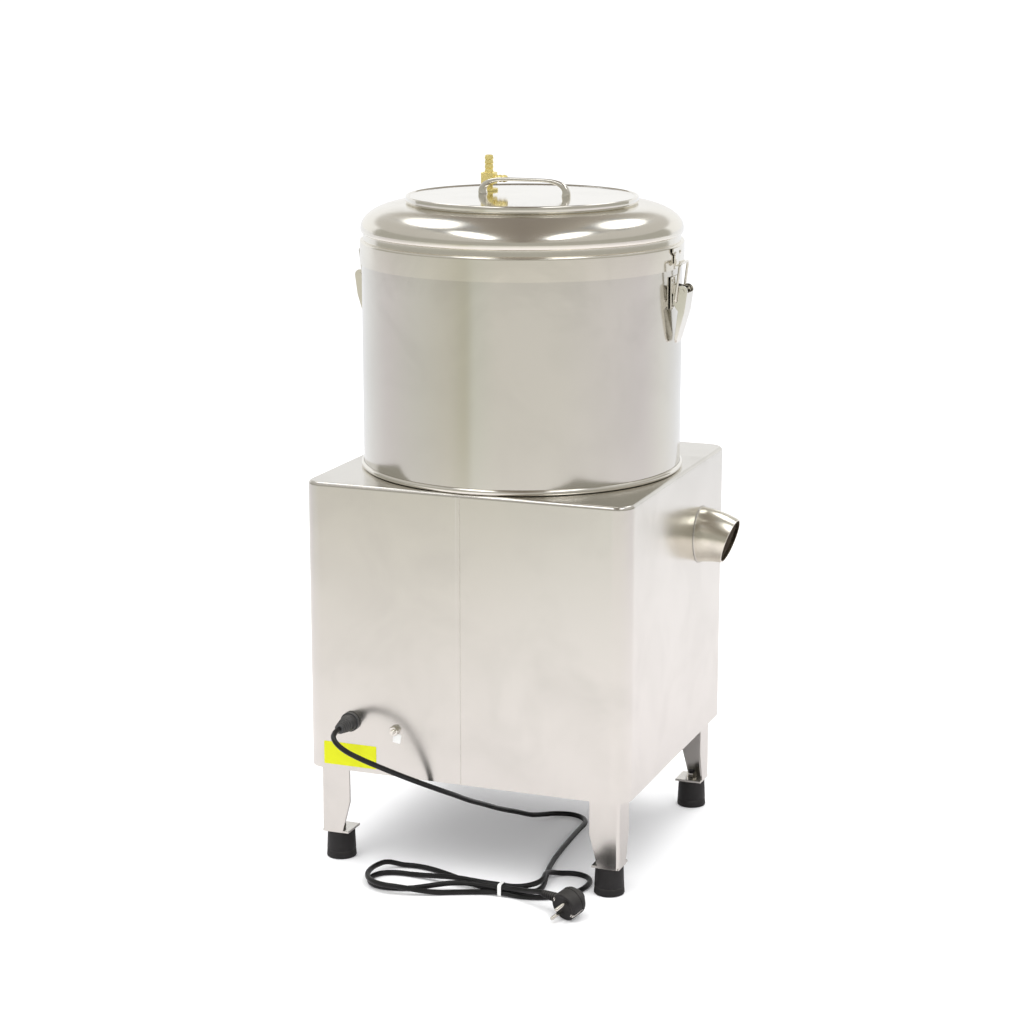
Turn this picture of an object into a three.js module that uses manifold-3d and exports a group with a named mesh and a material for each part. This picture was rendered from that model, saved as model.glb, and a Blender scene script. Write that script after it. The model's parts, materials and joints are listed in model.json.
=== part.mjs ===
// An electric potato peeler of the kind that stands in a commercial kitchen.
// A round drum with a latched lid stands on a square sheet steel cabinet. An abrasive disc in the
// drum's floor is driven by a belt from a motor in the cabinet, and water and peel leave by a drain.
// Units are millimetres, +Z is up, +Y is the back of the cabinet, and the floor is z = 0.
import * as THREE from "three";
import { mergeVertices } from "three/addons/utils/BufferGeometryUtils.js";
import Module from "manifold-3d";

const wasm = await Module();
wasm.setup();

// Clearances shared by all pieces
const seat = 0.3; // between pieces that rest on or pass through one another
const slip = 0.7; // between pieces that slide over one another
const overrun = 3; // how far a cutter runs past what it cuts

// Facets of round forms
const facets = { drum: 44, pulley: 24, pipe: 20, pin: 10, wire: 6, corner: 4 };

// Feet and legs
const foot = { height: 38, bottomRadius: 20.2, topRadius: 18.6, edge: 2, studRadius: 4, studHeight: 10 };
const leg = {
  reveal: 96, rise: 11.7, sheet: 3, topWidth: 41, bottomWidth: 29, inset: 14,
  straight: 50, padWidth: 46, plateWidth: 38,
};

// Cabinet and its base frame
const cabinet = { width: 450, depth: 432, height: 390, sheet: 2, corner: 24, edge: 5, lip: 8 };
const baseFrame = { lift: 12, sheet: 3, width: 45, opening: 30 };

// Drum, which reaches near the cabinet's front and back, its bead on the deck and the sump under it
const drum = { margin: 3, sheet: 1.5, height: 298 };
const bead = { section: 3.4, height: 7.5 };
const sump = { gap: 8, sheet: 1.5, floorShare: 0.6205, flange: 6, flangeSheet: 1.2 };

// Lid: skirt, neck, bulge, dome and raised disc, from the bottom up
const lid = {
  overlap: 25, skirtHeight: 28, shoulder: 3.2, neckInset: 2.4, neckHeight: 8, sheet: 1.5,
  bulge: 6.4, domeOut: 1, domeRise: 27, discInset: 57.5, discRise: 12.5, rim: 5, dish: 1,
};
const gasket = { width: 3.4 };
const handle = {
  span: 118, height: 23.5, topSpan: 62, bow: 5, bowHeight: 9, bowShare: 0.6, thick: 5.5, broad: 9.5,
  offset: 4, back: 6, steps: 24,
};

// Brass water inlet on the lid and the spray nozzle under it
const inlet = {
  x: 62, y: -46, body: 18.5, bodyBottom: 8.5, bodyHeight: 16, stem: 5.2, bore: 3, barb: 5.4, barbNeck: 4,
  tail: 22, barbs: 4, branch: 4, branchReach: 17, branchRing: 5, ring: 3, flats: 12, nut: 6, thread: 16,
};
const nozzle = { radius: 16, height: 13, wall: 2.5, neck: 9, holes: 6 };

// Side latches: hook on the lid's skirt, base on the drum, lever, wire bail and pivot pin
const latch = {
  y: 5, sheet: 2, hookWidth: 36, hookTop: 28, neckWidth: 20, neckHeight: 9, cup: 2.3, lip: 2.5,
  baseWidth: 34, baseHeight: 42, baseDrop: 9, earWidth: 20, earRadius: 5, earRise: 8.5,
  pivotOut: 15, pivotDrop: 27, pinRadius: 2, pinHead: 3.4, pinHeadHeight: 1.1,
  leverWidth: 28, tipWidth: 24, headRadius: 7.5, tipDrop: 69, tipOut: 4.5, tipThick: 3.2, kneeDrop: 26,
  kneeOut: 17, kneeDepth: 7, wire: 1.75, bailWidth: 35, bailOut: 7.2, bailDrop: 13, bailBend: 2.25, bite: 0.4,
  edgeDrop: 17.5, bailSteps: 24,
};

// Peeling disc, its nut, shaft and bearings
const disc = {
  lift: 12, thick: 12, gap: 10, edge: 3, ridges: 3, ridgeHeight: 11, ridgeWidth: 46, ridgeInner: 34,
  ridgeMargin: 14, ridgeShares: [0, 0.2, 0.4, 0.9, 1], ridgeStartShare: 0.12, hub: 30, hubDepth: 10,
};
const shaft = { radius: 12, stub: 8, stubRise: 12, foot: 2, cone: 22, coneHeight: 8 };
const discNut = { radius: 20, height: 24, grip: 15 };
const bearingHousing = { flange: 75, flangeThick: 9, tower: 45, drop: 46, bore: 17, lip: 3 };
const bearing = { radius: 26, height: 15 };
const seal = { height: 5.4 };

// Belt drive and motor
const bigPulley = {
  reachShare: 0.6934, height: 22, hub: 28, web: 6, rim: 16, drop: 38, holes: 4, holeShare: 0.333,
};
const smallPulley = { radius: 30, height: 20 };
const belt = { height: 10, thick: 8, grooveShare: 0.7 };
const motor = {
  inset: 79, radius: 64, lift: 18, drop: 12, shaft: 8, ribs: 16, ribDepth: 4, endBell: 26, ribMargin: 6,
  ribShares: { lowEnd: 0.45, highStart: 0.55, highEnd: 0.9 }, pilot: 22, shaftDepth: 112, shaftRise: 40,
};
const motorPlate = { thick: 3, width: 108, tab: 26 };

// Drain spout through the cabinet's side
const drain = {
  y: -98, rise: 45, radius: 38, wall: 2.2, stub: 21, bend: 5.25, mitre: 9, coneTilt: 18, cone: 21,
  mouthRadius: 31.5,
};

// Discharge frame and door on the front of the drum
const mouth = { width: 150, height: 110, bottom: 36, wall: 4, reach: 52, saddle: 13, saddleThick: 3 };
const door = {
  thick: 6, margin: 7, seal: 2.4, rib: 4, ribWidth: 8, ribShares: [0.25, 0.75], barrel: 7, pin: 3.2, lug: 22,
  lugInset: 11,
};
const doorLever = {
  inset: 19, hub: 12, thick: 8, grip: 86, gripWidth: 12, tongue: 30, tongueWidth: 10, pin: 4, head: 3,
  headRadius: 6.5, knob: 9, ribGap: 6,
};
const keeper = { clear: 3, arm: 5, width: 20, hook: 12, thick: 4, lift: 1 };

// Controls on the front of the cabinet
const panel = { x: 114, drop: 100, width: 170, height: 88, depth: 26, wall: 3, corner: 8, edge: 2 };
const button = {
  radius: 11, proud: 8, length: 22, pitch: 40, offset: -40, slack: 0.5, edge: 2, collar: 1.5, collarLength: 3,
};
const timer = {
  offset: 44, radius: 21, height: 18, grip: 7, gripRise: 7, spindle: 4, spindleLength: 14, edge: 3,
};

// Cable gland and earth terminal in the back
const gland = {
  x: 160, z: 203.5, hole: 8, nut: 13, nutHeight: 6, dome: 10, domeLength: 12, tip: 6.2, reach: 38, inner: 7,
  innerNut: 12,
};
const terminal = {
  x: 96.7, z: 198, hole: 3, washer: 6.4, washerHeight: 1.6, nut: 5.8, nutHeight: 5, stud: 12,
};

// Supply cord: the route's points are a list chosen by hand, the hank's loops a formula
const cord = { radius: 3.5, sides: 8, steps: 56, tailSteps: 8, passed: 42 };
const hank = {
  x: -64, y: 243, pitch: 3.9, low: 4.7, high: 12.5, floor: 3.6, over: 11.4, straight: 9, sides: 6, steps: 24,
};
const tie = { wall: 0.7, width: 5, corner: 3 };
// Each loop: how far it reaches, its half width, where it heads and how far it turns in degrees, over
// which length, and how full its end is. Its levels are at shares of the way round it.
const loops = [
  { start: 1, reach: 176, spread: 46, heading: 0, turn: 0, turnReach: 176, fullness: 2,
    levelShares: [[0, "low"], [0.1, "floor"], [0.36, "floor"], [0.44, "over"], [0.68, "over"], [0.8, "floor"],
      [0.9, "floor"], [1, "low"]] },
  { start: -1, reach: 131, spread: 27, heading: 180, turn: 90, turnReach: 92, fullness: 1.8,
    levelShares: [[0, "low"], [0.1, "floor"], [0.55, "floor"], [0.7, "high"], [1, "high"]] },
  { start: 1, reach: 172, spread: 25, heading: 0, turn: 10, turnReach: 172, fullness: 1.4,
    levelShares: [[0, "high"], [0.12, "high"], [0.3, "floor"], [0.72, "floor"], [0.88, "high"],
      [1, "high"]] },
];
const plug = {
  x: -174, y: 285, z: 21.5, radius: 18.8, length: 34, edge: 3, rear: 12, neck: 7, neckEnd: 4.6, reach: 46,
  pin: 2.4, pinLength: 19, pinPitch: 9.5, faceOut: 14, tilt: 12.7, turn: -22, roll: 57, earth: 4,
};

// Radii and levels that follow from the sizes above
const drumRadius = cabinet.depth / 2 - drum.margin;
const sumpRadius = drumRadius - sump.gap;
const discRadius = drumRadius - disc.gap;
const skirtRadius = drumRadius + slip + lid.sheet;
const neckRadius = drumRadius - lid.neckInset;
const domeRadius = drumRadius + lid.domeOut;
const lidDiscRadius = drumRadius - lid.discInset;
const motorDistance = cabinet.depth / 2 - motor.inset;
const bigPulleyRadius = motorDistance * bigPulley.reachShare;
const cabinetBottom = foot.height + leg.reveal;
const deck = cabinetBottom + cabinet.height;
const sumpFloor = cabinetBottom + cabinet.height * sump.floorShare;
const housingTop = deck - bearingHousing.drop;
const pulleyLow = sumpFloor - bigPulley.drop;
const pulleyTop = pulleyLow + bigPulley.height;
const motorTop = pulleyLow - motor.drop;
const motorBottom = cabinetBottom + motor.lift;
const drainZ = sumpFloor + drain.rise;
const panelZ = deck - panel.drop;
const drumTop = deck + drum.height;
const skirtBottom = drumTop - lid.overlap;
const skirtTop = skirtBottom + lid.skirtHeight;
const shoulderTop = skirtTop + lid.shoulder;
const neckTop = shoulderTop + lid.neckHeight;
const bulgeTop = neckTop + lid.bulge;
const domeTop = bulgeTop + lid.domeRise;
const lidTop = domeTop + lid.discRise;
const discBottom = deck + disc.lift;
const discTop = discBottom + disc.thick;

const steel = (colour, roughness) =>
  new THREE.MeshStandardMaterial({ color: colour, roughness, metalness: 1 });
const materials = {
  satin: steel(0xc9c7c0, 0.42),
  polished: steel(0xdcdcda, 0.12),
  galvanised: steel(0xa9adb0, 0.5),
  brass: steel(0xc9a24a, 0.25),
  cast: steel(0xb4b6b8, 0.55),
  iron: steel(0x55585a, 0.6),
  rubber: new THREE.MeshStandardMaterial({ color: 0x151515, roughness: 0.8, metalness: 0 }),
  plastic: new THREE.MeshStandardMaterial({ color: 0x1a1a1c, roughness: 0.45, metalness: 0 }),
  grit: new THREE.MeshStandardMaterial({ color: 0x3d3a37, roughness: 0.95, metalness: 0 }),
  green: new THREE.MeshStandardMaterial({ color: 0x1f8f3c, roughness: 0.4, metalness: 0 }),
  red: new THREE.MeshStandardMaterial({ color: 0xb3201c, roughness: 0.4, metalness: 0 }),
  white: new THREE.MeshStandardMaterial({ color: 0xf2f2ee, roughness: 0.5, metalness: 0 }),
};

// Solids

// Turns a three.js geometry into a solid, with shared vertices and no empty triangles.
function solid(geometry) {
  const bare = geometry.index ? geometry.toNonIndexed() : geometry.clone();
  const points = new THREE.BufferGeometry().setAttribute("position", bare.getAttribute("position"));
  const merged = mergeVertices(points, 1e-4);
  const kept = [];
  const index = merged.index.array;
  for (let i = 0; i < index.length; i += 3) {
    const [a, b, c] = [index[i], index[i + 1], index[i + 2]];
    if (a !== b && b !== c && c !== a) kept.push(a, b, c);
  }
  return new wasm.Manifold(new wasm.Mesh({
    numProp: 3,
    vertProperties: merged.getAttribute("position").array,
    triVerts: new Uint32Array(kept),
  }));
}

// Turns a solid back into a three.js geometry.
function geometryOf(body) {
  const mesh = body.getMesh();
  const places = new Float32Array(mesh.numVert * 3);
  for (let i = 0; i < mesh.numVert; i += 1) {
    const start = i * mesh.numProp;
    places.set(mesh.vertProperties.subarray(start, start + 3), i * 3);
  }
  const geometry = new THREE.BufferGeometry();
  geometry.setAttribute("position", new THREE.BufferAttribute(places, 3));
  geometry.setIndex(new THREE.BufferAttribute(new Uint32Array(mesh.triVerts), 1));
  geometry.computeVertexNormals();
  return geometry;
}

const moved = (body, ...place) => solid(geometryOf(body).translate(...place));
const spun = (body, angle) => solid(geometryOf(body).rotateZ(angle));
const join = (...bodies) => bodies.reduce((whole, body) => whole.add(body));
const cut = (body, ...cutters) => cutters.reduce((rest, cutter) => rest.subtract(cutter), body);

// A block given by its lowest and highest corners.
function block(low, high) {
  const size = high.map((value, i) => value - low[i]);
  const middle = high.map((value, i) => (value + low[i]) / 2);
  return solid(new THREE.BoxGeometry(...size).translate(...middle));
}

// A round bar along Z between two levels, with its own top radius if it tapers.
function bar(radius, low, high, sides, topRadius = radius) {
  const geometry = new THREE.CylinderGeometry(topRadius, radius, high - low, sides);
  return solid(geometry.rotateX(Math.PI / 2).translate(0, 0, (low + high) / 2));
}

// Lays what was built along Z along another axis.
function along(geometry, axis) {
  if (axis === "x") return geometry.rotateY(Math.PI / 2);
  if (axis === "-x") return geometry.rotateY(-Math.PI / 2);
  if (axis === "y") return geometry.rotateX(-Math.PI / 2);
  if (axis === "-y") return geometry.rotateX(Math.PI / 2);
  return geometry;
}

// A round rod that starts at a place and runs along an axis.
function rod(radius, length, sides, axis, place, endRadius = radius) {
  const geometry = new THREE.CylinderGeometry(endRadius, radius, length, sides);
  return solid(along(geometry.rotateX(Math.PI / 2).translate(0, 0, length / 2), axis).translate(...place));
}

// A closed profile of [radius, height] points turned round Z, whichever way round it is listed.
function turned(profile, sides) {
  const points = profile.map(([r, z]) => new THREE.Vector2(r, z));
  if (THREE.ShapeUtils.area(points) < 0) points.reverse();
  points.push(points[0].clone());
  return solid(new THREE.LatheGeometry(points, sides).rotateX(Math.PI / 2));
}

// Points on an arc of an ellipse, in degrees, with both ends.
function arc(cx, cy, rx, ry, from, to, steps) {
  return Array.from({ length: steps + 1 }, (_, i) => {
    const angle = THREE.MathUtils.degToRad(from + ((to - from) * i) / steps);
    return [cx + rx * Math.cos(angle), cy + ry * Math.sin(angle)];
  });
}

// An outline of [x, y] points, with any holes, raised along Z.
function raised(outline, height, holes = []) {
  const shape = new THREE.Shape(outline.map(([x, y]) => new THREE.Vector2(x, y)));
  for (const hole of holes) shape.holes.push(new THREE.Path(hole.map(([x, y]) => new THREE.Vector2(x, y))));
  return new THREE.ExtrudeGeometry(shape, { depth: height, bevelEnabled: false, steps: 1 });
}

// A rectangle with round corners, centred on zero.
function roundedRectangle(width, depth, radius, steps = facets.corner) {
  const x = width / 2 - radius;
  const y = depth / 2 - radius;
  return [
    ...arc(x, y, radius, radius, 0, 90, steps),
    ...arc(-x, y, radius, radius, 90, 180, steps),
    ...arc(-x, -y, radius, radius, 180, 270, steps),
    ...arc(x, -y, radius, radius, 270, 360, steps),
  ];
}

// A regular polygon whose flats are a given distance from the centre.
function polygon(apothem, sides, start = 0) {
  const radius = apothem / Math.cos(Math.PI / sides);
  return arc(0, 0, radius, radius, start, start + 360, sides).slice(0, sides);
}

// Skins a stack of loops that all have the same number of points, and closes both ends.
function loft(loops) {
  const count = loops[0].length;
  const places = loops.flat(2);
  const index = [];
  for (let k = 0; k + 1 < loops.length; k += 1) {
    for (let i = 0; i < count; i += 1) {
      const a = k * count + i;
      const b = k * count + ((i + 1) % count);
      index.push(a, b, b + count, a, b + count, a + count);
    }
  }
  for (const [k, flip] of [[0, true], [loops.length - 1, false]]) {
    const centre = places.length / 3;
    for (let axis = 0; axis < 3; axis += 1) {
      places.push(loops[k].reduce((sum, point) => sum + point[axis], 0) / count);
    }
    for (let i = 0; i < count; i += 1) {
      const a = k * count + i;
      const b = k * count + ((i + 1) % count);
      index.push(centre, ...(flip ? [b, a] : [a, b]));
    }
  }
  const geometry = new THREE.BufferGeometry();
  geometry.setAttribute("position", new THREE.Float32BufferAttribute(places, 3));
  geometry.setIndex(index);
  return geometry;
}

// A tube along a curve: its section is an ellipse or circle with flat ends.
function tube(curve, radius, sides, steps, broad = radius) {
  const shape = new THREE.Shape(arc(0, 0, radius, broad, 0, 360, sides).slice(0, sides)
    .map(([x, y]) => new THREE.Vector2(x, y)));
  return new THREE.ExtrudeGeometry(shape, { steps, extrudePath: curve, bevelEnabled: false });
}

// Straight stretches between points, with each inner corner rounded.
function bentWire(points, bend) {
  const path = new THREE.CurvePath();
  const at = points.map((point) => new THREE.Vector3(...point));
  let start = at[0];
  for (let i = 1; i + 1 < at.length; i += 1) {
    const into = at[i].clone().sub(at[i - 1]).setLength(bend);
    const out = at[i + 1].clone().sub(at[i]).setLength(bend);
    const before = at[i].clone().sub(into);
    const after = at[i].clone().add(out);
    path.add(new THREE.LineCurve3(start, before));
    path.add(new THREE.QuadraticBezierCurve3(before, at[i], after));
    start = after;
  }
  path.add(new THREE.LineCurve3(start, at[at.length - 1]));
  return path;
}

const machine = new THREE.Group();

// Adds a named piece, from a solid or a geometry, to a group.
function piece(name, form, material, group = machine) {
  const geometry = form instanceof wasm.Manifold ? geometryOf(form) : form;
  const mesh = new THREE.Mesh(geometry, material);
  mesh.name = name;
  group.add(mesh);
  return mesh;
}

// Cabinet

// The folded sheet cabinet: four walls and a deck with rounded edges, and a narrow lip turned in
// at the open bottom. The deck and walls are cut for the sump, drain, gland, terminal and controls.
function cabinetShell() {
  const skin = (inset, bottom, top, edge) => {
    const width = cabinet.width - 2 * inset;
    const depth = cabinet.depth - 2 * inset;
    const loop = (shrink, z) => roundedRectangle(
      width - 2 * shrink, depth - 2 * shrink, cabinet.corner - inset - shrink).map(([x, y]) => [x, y, z]);
    const round = arc(0, 0, edge, edge, 0, 90, facets.corner)
      .map(([out, up]) => loop(edge - out, top - edge + up));
    return solid(loft([loop(0, bottom), ...round]));
  };
  const sheet = cabinet.sheet;
  const outer = skin(0, cabinetBottom, deck, cabinet.edge);
  const inner = skin(sheet, cabinetBottom + sheet, deck - sheet, cabinet.edge - sheet);
  const doorway = skin(cabinet.lip, cabinetBottom - overrun, cabinetBottom + sheet + overrun, seat);
  const well = bar(sumpRadius - sump.sheet, deck - sheet - overrun, deck + overrun, facets.drum);
  const back = cabinet.depth / 2 - sheet - overrun;
  const wallCut = sheet + 2 * overrun;
  const side = sheet + overrun - cabinet.width / 2;
  return cut(outer, inner, doorway, well,
    rod(drain.radius + seat, wallCut, facets.pipe, "-x", [side, drain.y, drainZ]),
    rod(gland.hole + seat, wallCut, facets.pipe, "y", [gland.x, back, gland.z]),
    rod(terminal.hole + seat, wallCut, facets.pin, "y", [terminal.x, back, terminal.z]),
    controlWindow());
}

// The window behind the control box, through the front wall.
function controlWindow() {
  const front = -cabinet.depth / 2;
  const halfWidth = panel.width / 2 - panel.wall - panel.corner;
  const halfHeight = panel.height / 2 - panel.wall - panel.corner;
  return block(
    [panel.x - halfWidth, front - overrun, panelZ - halfHeight],
    [panel.x + halfWidth, front + cabinet.sheet + overrun, panelZ + halfHeight]);
}

// The flat steel ring inside the bottom of the cabinet, to which the legs are bolted.
function baseRing() {
  const wall = cabinet.sheet + seat;
  const outline = roundedRectangle(cabinet.width - 2 * wall, cabinet.depth - 2 * wall, cabinet.corner - wall);
  const inside = roundedRectangle(
    cabinet.width - 2 * wall - 2 * baseFrame.width, cabinet.depth - 2 * wall - 2 * baseFrame.width,
    baseFrame.opening);
  return raised(outline, baseFrame.sheet, [inside]).translate(0, 0, cabinetBottom + baseFrame.lift);
}

// One leg for the corner at +X and +Y: two tapered flanges that meet at the outer corner, a pad
// under the base frame and a foot plate.
function legSolid() {
  const low = foot.height + seat;
  const high = cabinetBottom + leg.rise;
  const taper = cabinetBottom - leg.straight;
  const outline = [
    [0, low], [0, high], [-leg.topWidth, high], [-leg.topWidth, taper], [-leg.bottomWidth, low],
  ];
  const flange = () => raised(outline, leg.sheet).rotateX(Math.PI / 2);
  const flanges = join(solid(flange()), solid(flange().rotateZ(Math.PI / 2).translate(-leg.sheet, 0, 0)));
  const pad = block([-leg.padWidth, -leg.padWidth, high - leg.sheet], [0, 0, high]);
  const plate = block([-leg.plateWidth, -leg.plateWidth, low], [0, 0, low + leg.sheet]);
  const middle = -leg.plateWidth / 2;
  const stud = moved(
    bar(foot.studRadius + seat, low - overrun, low + leg.sheet + overrun, facets.pin), middle, middle, 0);
  return cut(join(flanges, pad, plate), stud);
}

// One rubber foot under the middle of a leg's foot plate, with its threaded stud.
function footSolid() {
  const r = foot.bottomRadius;
  const t = foot.topRadius;
  const stud = foot.height + seat + leg.sheet + foot.studHeight;
  return turned([
    [0, 0], [r - foot.edge, 0], [r, foot.edge], [t, foot.height - foot.edge], [t - foot.edge, foot.height],
    [foot.studRadius, foot.height], [foot.studRadius, stud], [0, stud],
  ], facets.pipe);
}

// Drum and sump

function drumWall() {
  const tubeWall = turned([
    [drumRadius, deck + seat], [drumRadius, drumTop], [drumRadius - drum.sheet, drumTop],
    [drumRadius - drum.sheet, deck + seat],
  ], facets.drum);
  return cut(tubeWall, mouthCutter(0));
}

// The block that opens the drum's front for the discharge, grown by a margin on each side.
function mouthCutter(margin) {
  const low = discTop + mouth.bottom - margin;
  return block(
    [-mouth.width / 2 - margin, -drumRadius - mouth.reach - overrun, low],
    [mouth.width / 2 + margin, -drumRadius * Math.SQRT1_2, low + mouth.height + 2 * margin]);
}

// The rolled bead that trims the drum's foot on the deck.
function drumBead() {
  const low = deck + seat;
  const inside = drumRadius + seat;
  const middle = low + bead.height / 2;
  return turned([
    [inside, low],
    ...arc(inside, middle, bead.section, bead.height / 2, -90, 90, 4).slice(1, -1),
    [inside, low + bead.height],
  ], facets.drum);
}

// The basin under the disc that gathers water and peel, hung by its flange under the deck.
function sumpBasin() {
  const top = deck - cabinet.sheet - seat;
  const inside = sumpRadius - sump.sheet;
  const basin = turned([
    [bearingHousing.tower + seat, sumpFloor], [sumpRadius, sumpFloor],
    [sumpRadius, top - sump.flangeSheet], [sumpRadius + sump.flange, top - sump.flangeSheet],
    [sumpRadius + sump.flange, top], [inside, top], [inside, sumpFloor + sump.sheet],
    [bearingHousing.tower + seat, sumpFloor + sump.sheet],
  ], facets.drum);
  const outlet = rod(
    drain.radius - drain.wall, sumpRadius, facets.pipe, "-x", [-bearingHousing.flange, drain.y, drainZ]);
  return cut(basin, outlet);
}

// The waste spout: a stub from the sump through the cabinet's side, with a mitred, tapered nozzle
// that points a little down.
function drainSpout() {
  const sweep = (shrink, startX, extra) => {
    const side = -cabinet.width / 2;
    const ring = (x, z, tilt, radius) => arc(0, 0, radius, radius, 0, 360, facets.pipe).slice(0, facets.pipe)
      .map(([u, v]) => [x - v * Math.sin(tilt), drain.y - u, z + v * Math.cos(tilt)]);
    const mitre = THREE.MathUtils.degToRad(drain.mitre);
    const tilt = THREE.MathUtils.degToRad(drain.coneTilt);
    const endX = side - drain.stub - drain.cone * Math.cos(tilt);
    const endZ = drainZ - drain.cone * Math.sin(tilt);
    const stubRing = (x) => ring(x, drainZ, 0, drain.radius - shrink);
    const loops = [stubRing(startX), stubRing(side - drain.bend),
      ring(side - drain.stub, drainZ, mitre, drain.radius - shrink),
      ring(endX, endZ, tilt, drain.mouthRadius - shrink)];
    const [pastX, pastZ] = [endX - extra * Math.cos(tilt), endZ - extra * Math.sin(tilt)];
    if (extra) loops.push(ring(pastX, pastZ, tilt, drain.mouthRadius - shrink));
    return solid(loft(loops));
  };
  const start = -sumpRadius / 2;
  const outside = sweep(0, start, 0);
  const bore = sweep(drain.wall, start + overrun, overrun);
  const reach = drain.radius + overrun;
  const round = bar(sumpRadius + seat, drainZ - reach, drainZ + reach, facets.drum);
  return cut(outside, bore, round);
}

// Lid

// The lid in one skin: skirt, shoulder, neck, bulge, dome and the raised disc, open to the inlet.
function lidShell() {
  const t = lid.sheet;
  const domeWide = domeRadius - lidDiscRadius;
  const outer = [
    [skirtRadius, skirtBottom],
    ...arc(skirtRadius - lid.shoulder, skirtTop, lid.shoulder, lid.shoulder, 0, 90, 2),
    [neckRadius, shoulderTop],
    ...arc(neckRadius, bulgeTop, domeRadius - neckRadius, lid.bulge, -90, 0, 2),
    ...arc(lidDiscRadius, bulgeTop, domeWide, lid.domeRise, 0, 88, 6).slice(1),
    [lidDiscRadius, lidTop - lid.dish],
    [lidDiscRadius - lid.dish, lidTop],
    [lidDiscRadius - lid.rim, lidTop],
    [lidDiscRadius - lid.rim - lid.dish, lidTop - lid.dish],
    [0, lidTop - lid.dish],
  ];
  const inner = [
    [0, lidTop - lid.dish - t],
    [lidDiscRadius - t, lidTop - lid.dish - t],
    ...arc(lidDiscRadius - t, bulgeTop, domeWide, lid.domeRise - t, 88, 0, 4),
    [neckRadius - t, neckTop + t],
    [neckRadius - t, shoulderTop - t],
    [skirtRadius - t, shoulderTop - t],
    [skirtRadius - t, skirtBottom],
  ];
  return cut(turned([...outer, ...inner], facets.drum),
    moved(bar(inlet.stem + seat, domeTop, lidTop + overrun, facets.pin), inlet.x, inlet.y, 0));
}

// The rubber ring between the lid's shoulder and the drum's rim.
function lidGasket() {
  const outside = skirtRadius - lid.sheet - seat;
  const low = drumTop + seat;
  const high = shoulderTop - lid.sheet - seat;
  return turned([
    [outside, low], [outside, high], [outside - gasket.width, high], [outside - gasket.width, low],
  ], facets.drum);
}

// The bent strap handle, bowed out at its feet, standing on the raised disc.
function lidHandle() {
  const low = lidTop - lid.dish + seat;
  const half = handle.span / 2;
  const top = low + handle.height - handle.thick / 2;
  const points = [
    [-half, low], [-half - handle.bow * handle.bowShare, low + handle.bowHeight / 2],
    [-half - handle.bow, low + handle.bowHeight],
    [-half, (low + handle.bowHeight + top) / 2 + handle.thick / 4],
    [-handle.topSpan / 2 - handle.bow, top - handle.thick / 4], [-handle.topSpan / 2, top],
    [0, top],
  ];
  const path = [...points, ...points.slice(0, -1).reverse().map(([x, z]) => [-x, z])];
  const curve = new THREE.CatmullRomCurve3(
    path.map(([x, z]) => new THREE.Vector3(x, 0, z)), false, "centripetal");
  const strap = solid(tube(curve, handle.broad / 2, facets.pin, handle.steps, handle.thick / 2));
  const floor = block([-handle.span, -handle.broad, low - handle.broad], [handle.span, handle.broad, low]);
  return cut(strap, floor);
}

// The brass fitting: a stem through the lid, a square body, a barbed hose tail on top and a
// ringed branch to the side, bored through from top to bottom.
function inletFitting() {
  const base = lidTop - lid.dish + seat;
  const low = base + inlet.bodyBottom;
  const high = low + inlet.bodyHeight;
  const half = inlet.body / 2;
  const step = inlet.tail / inlet.barbs;
  const barbs = Array.from({ length: inlet.barbs }, (_, i) => [
    [inlet.barb, high + i * step], [inlet.barbNeck, high + (i + 1) * step - seat],
  ]).flat();
  const profile = [
    [0, base - inlet.thread], [inlet.stem, base - inlet.thread], [inlet.stem, base], [inlet.flats, base],
    [inlet.flats, base + inlet.ring], [inlet.stem, base + inlet.ring], [inlet.stem, low + seat],
    [inlet.barb, low + seat], ...barbs, [0, high + inlet.tail - seat],
  ];
  const branchZ = (low + high) / 2;
  const branch = rod(inlet.branch, half + inlet.branchReach, facets.pin, "-x", [0, 0, branchZ]);
  const [collar, cap] = [inlet.branchReach / 2, inlet.branchReach - inlet.ring].map((out) =>
    rod(inlet.branchRing, inlet.ring, facets.pin, "-x", [-half - out, 0, branchZ]));
  const body = solid(loft([
    roundedRectangle(inlet.body, inlet.body, inlet.ring, 2).map(([x, y]) => [x, y, low]),
    roundedRectangle(inlet.body, inlet.body, inlet.ring, 2).map(([x, y]) => [x, y, high]),
  ]));
  const bore = bar(inlet.bore, base - inlet.thread - overrun, high + inlet.tail + overrun, facets.pin);
  return cut(join(turned(profile, facets.pin), body, branch, collar, cap), bore);
}

// The hexagon nut that clamps the fitting from inside the lid.
function inletNut() {
  const top = lidTop - lid.dish - lid.sheet - seat;
  const hexagon = raised(polygon(inlet.flats, 6), inlet.nut).translate(0, 0, top - inlet.nut);
  return cut(solid(hexagon), bar(inlet.stem + seat, top - inlet.nut - overrun, top + overrun, facets.pin));
}

// The spray nozzle on the end of the fitting: a shallow cup with a ring of holes.
function sprayNozzle() {
  const top = lidTop - lid.dish - lid.sheet - 2 * seat - inlet.nut;
  const neckBottom = top - nozzle.neck;
  const low = neckBottom - nozzle.height;
  const stem = inlet.stem + seat;
  const cup = turned([
    [stem, top], [stem, neckBottom - nozzle.wall], [nozzle.radius - nozzle.wall, low + nozzle.wall],
    [0, low + nozzle.wall], [0, low], [nozzle.radius, low], [nozzle.radius, low + nozzle.wall],
    [stem + nozzle.wall, neckBottom], [stem + nozzle.wall, top],
  ], facets.pipe);
  const holes = Array.from({ length: nozzle.holes }, (_, i) => {
    const angle = (i * 2 * Math.PI) / nozzle.holes;
    const r = nozzle.radius / 2;
    const hole = bar(nozzle.wall / 2, low - overrun, low + nozzle.wall + overrun, facets.wire);
    return moved(hole, r * Math.cos(angle), r * Math.sin(angle), 0);
  });
  return cut(cup, ...holes);
}

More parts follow.
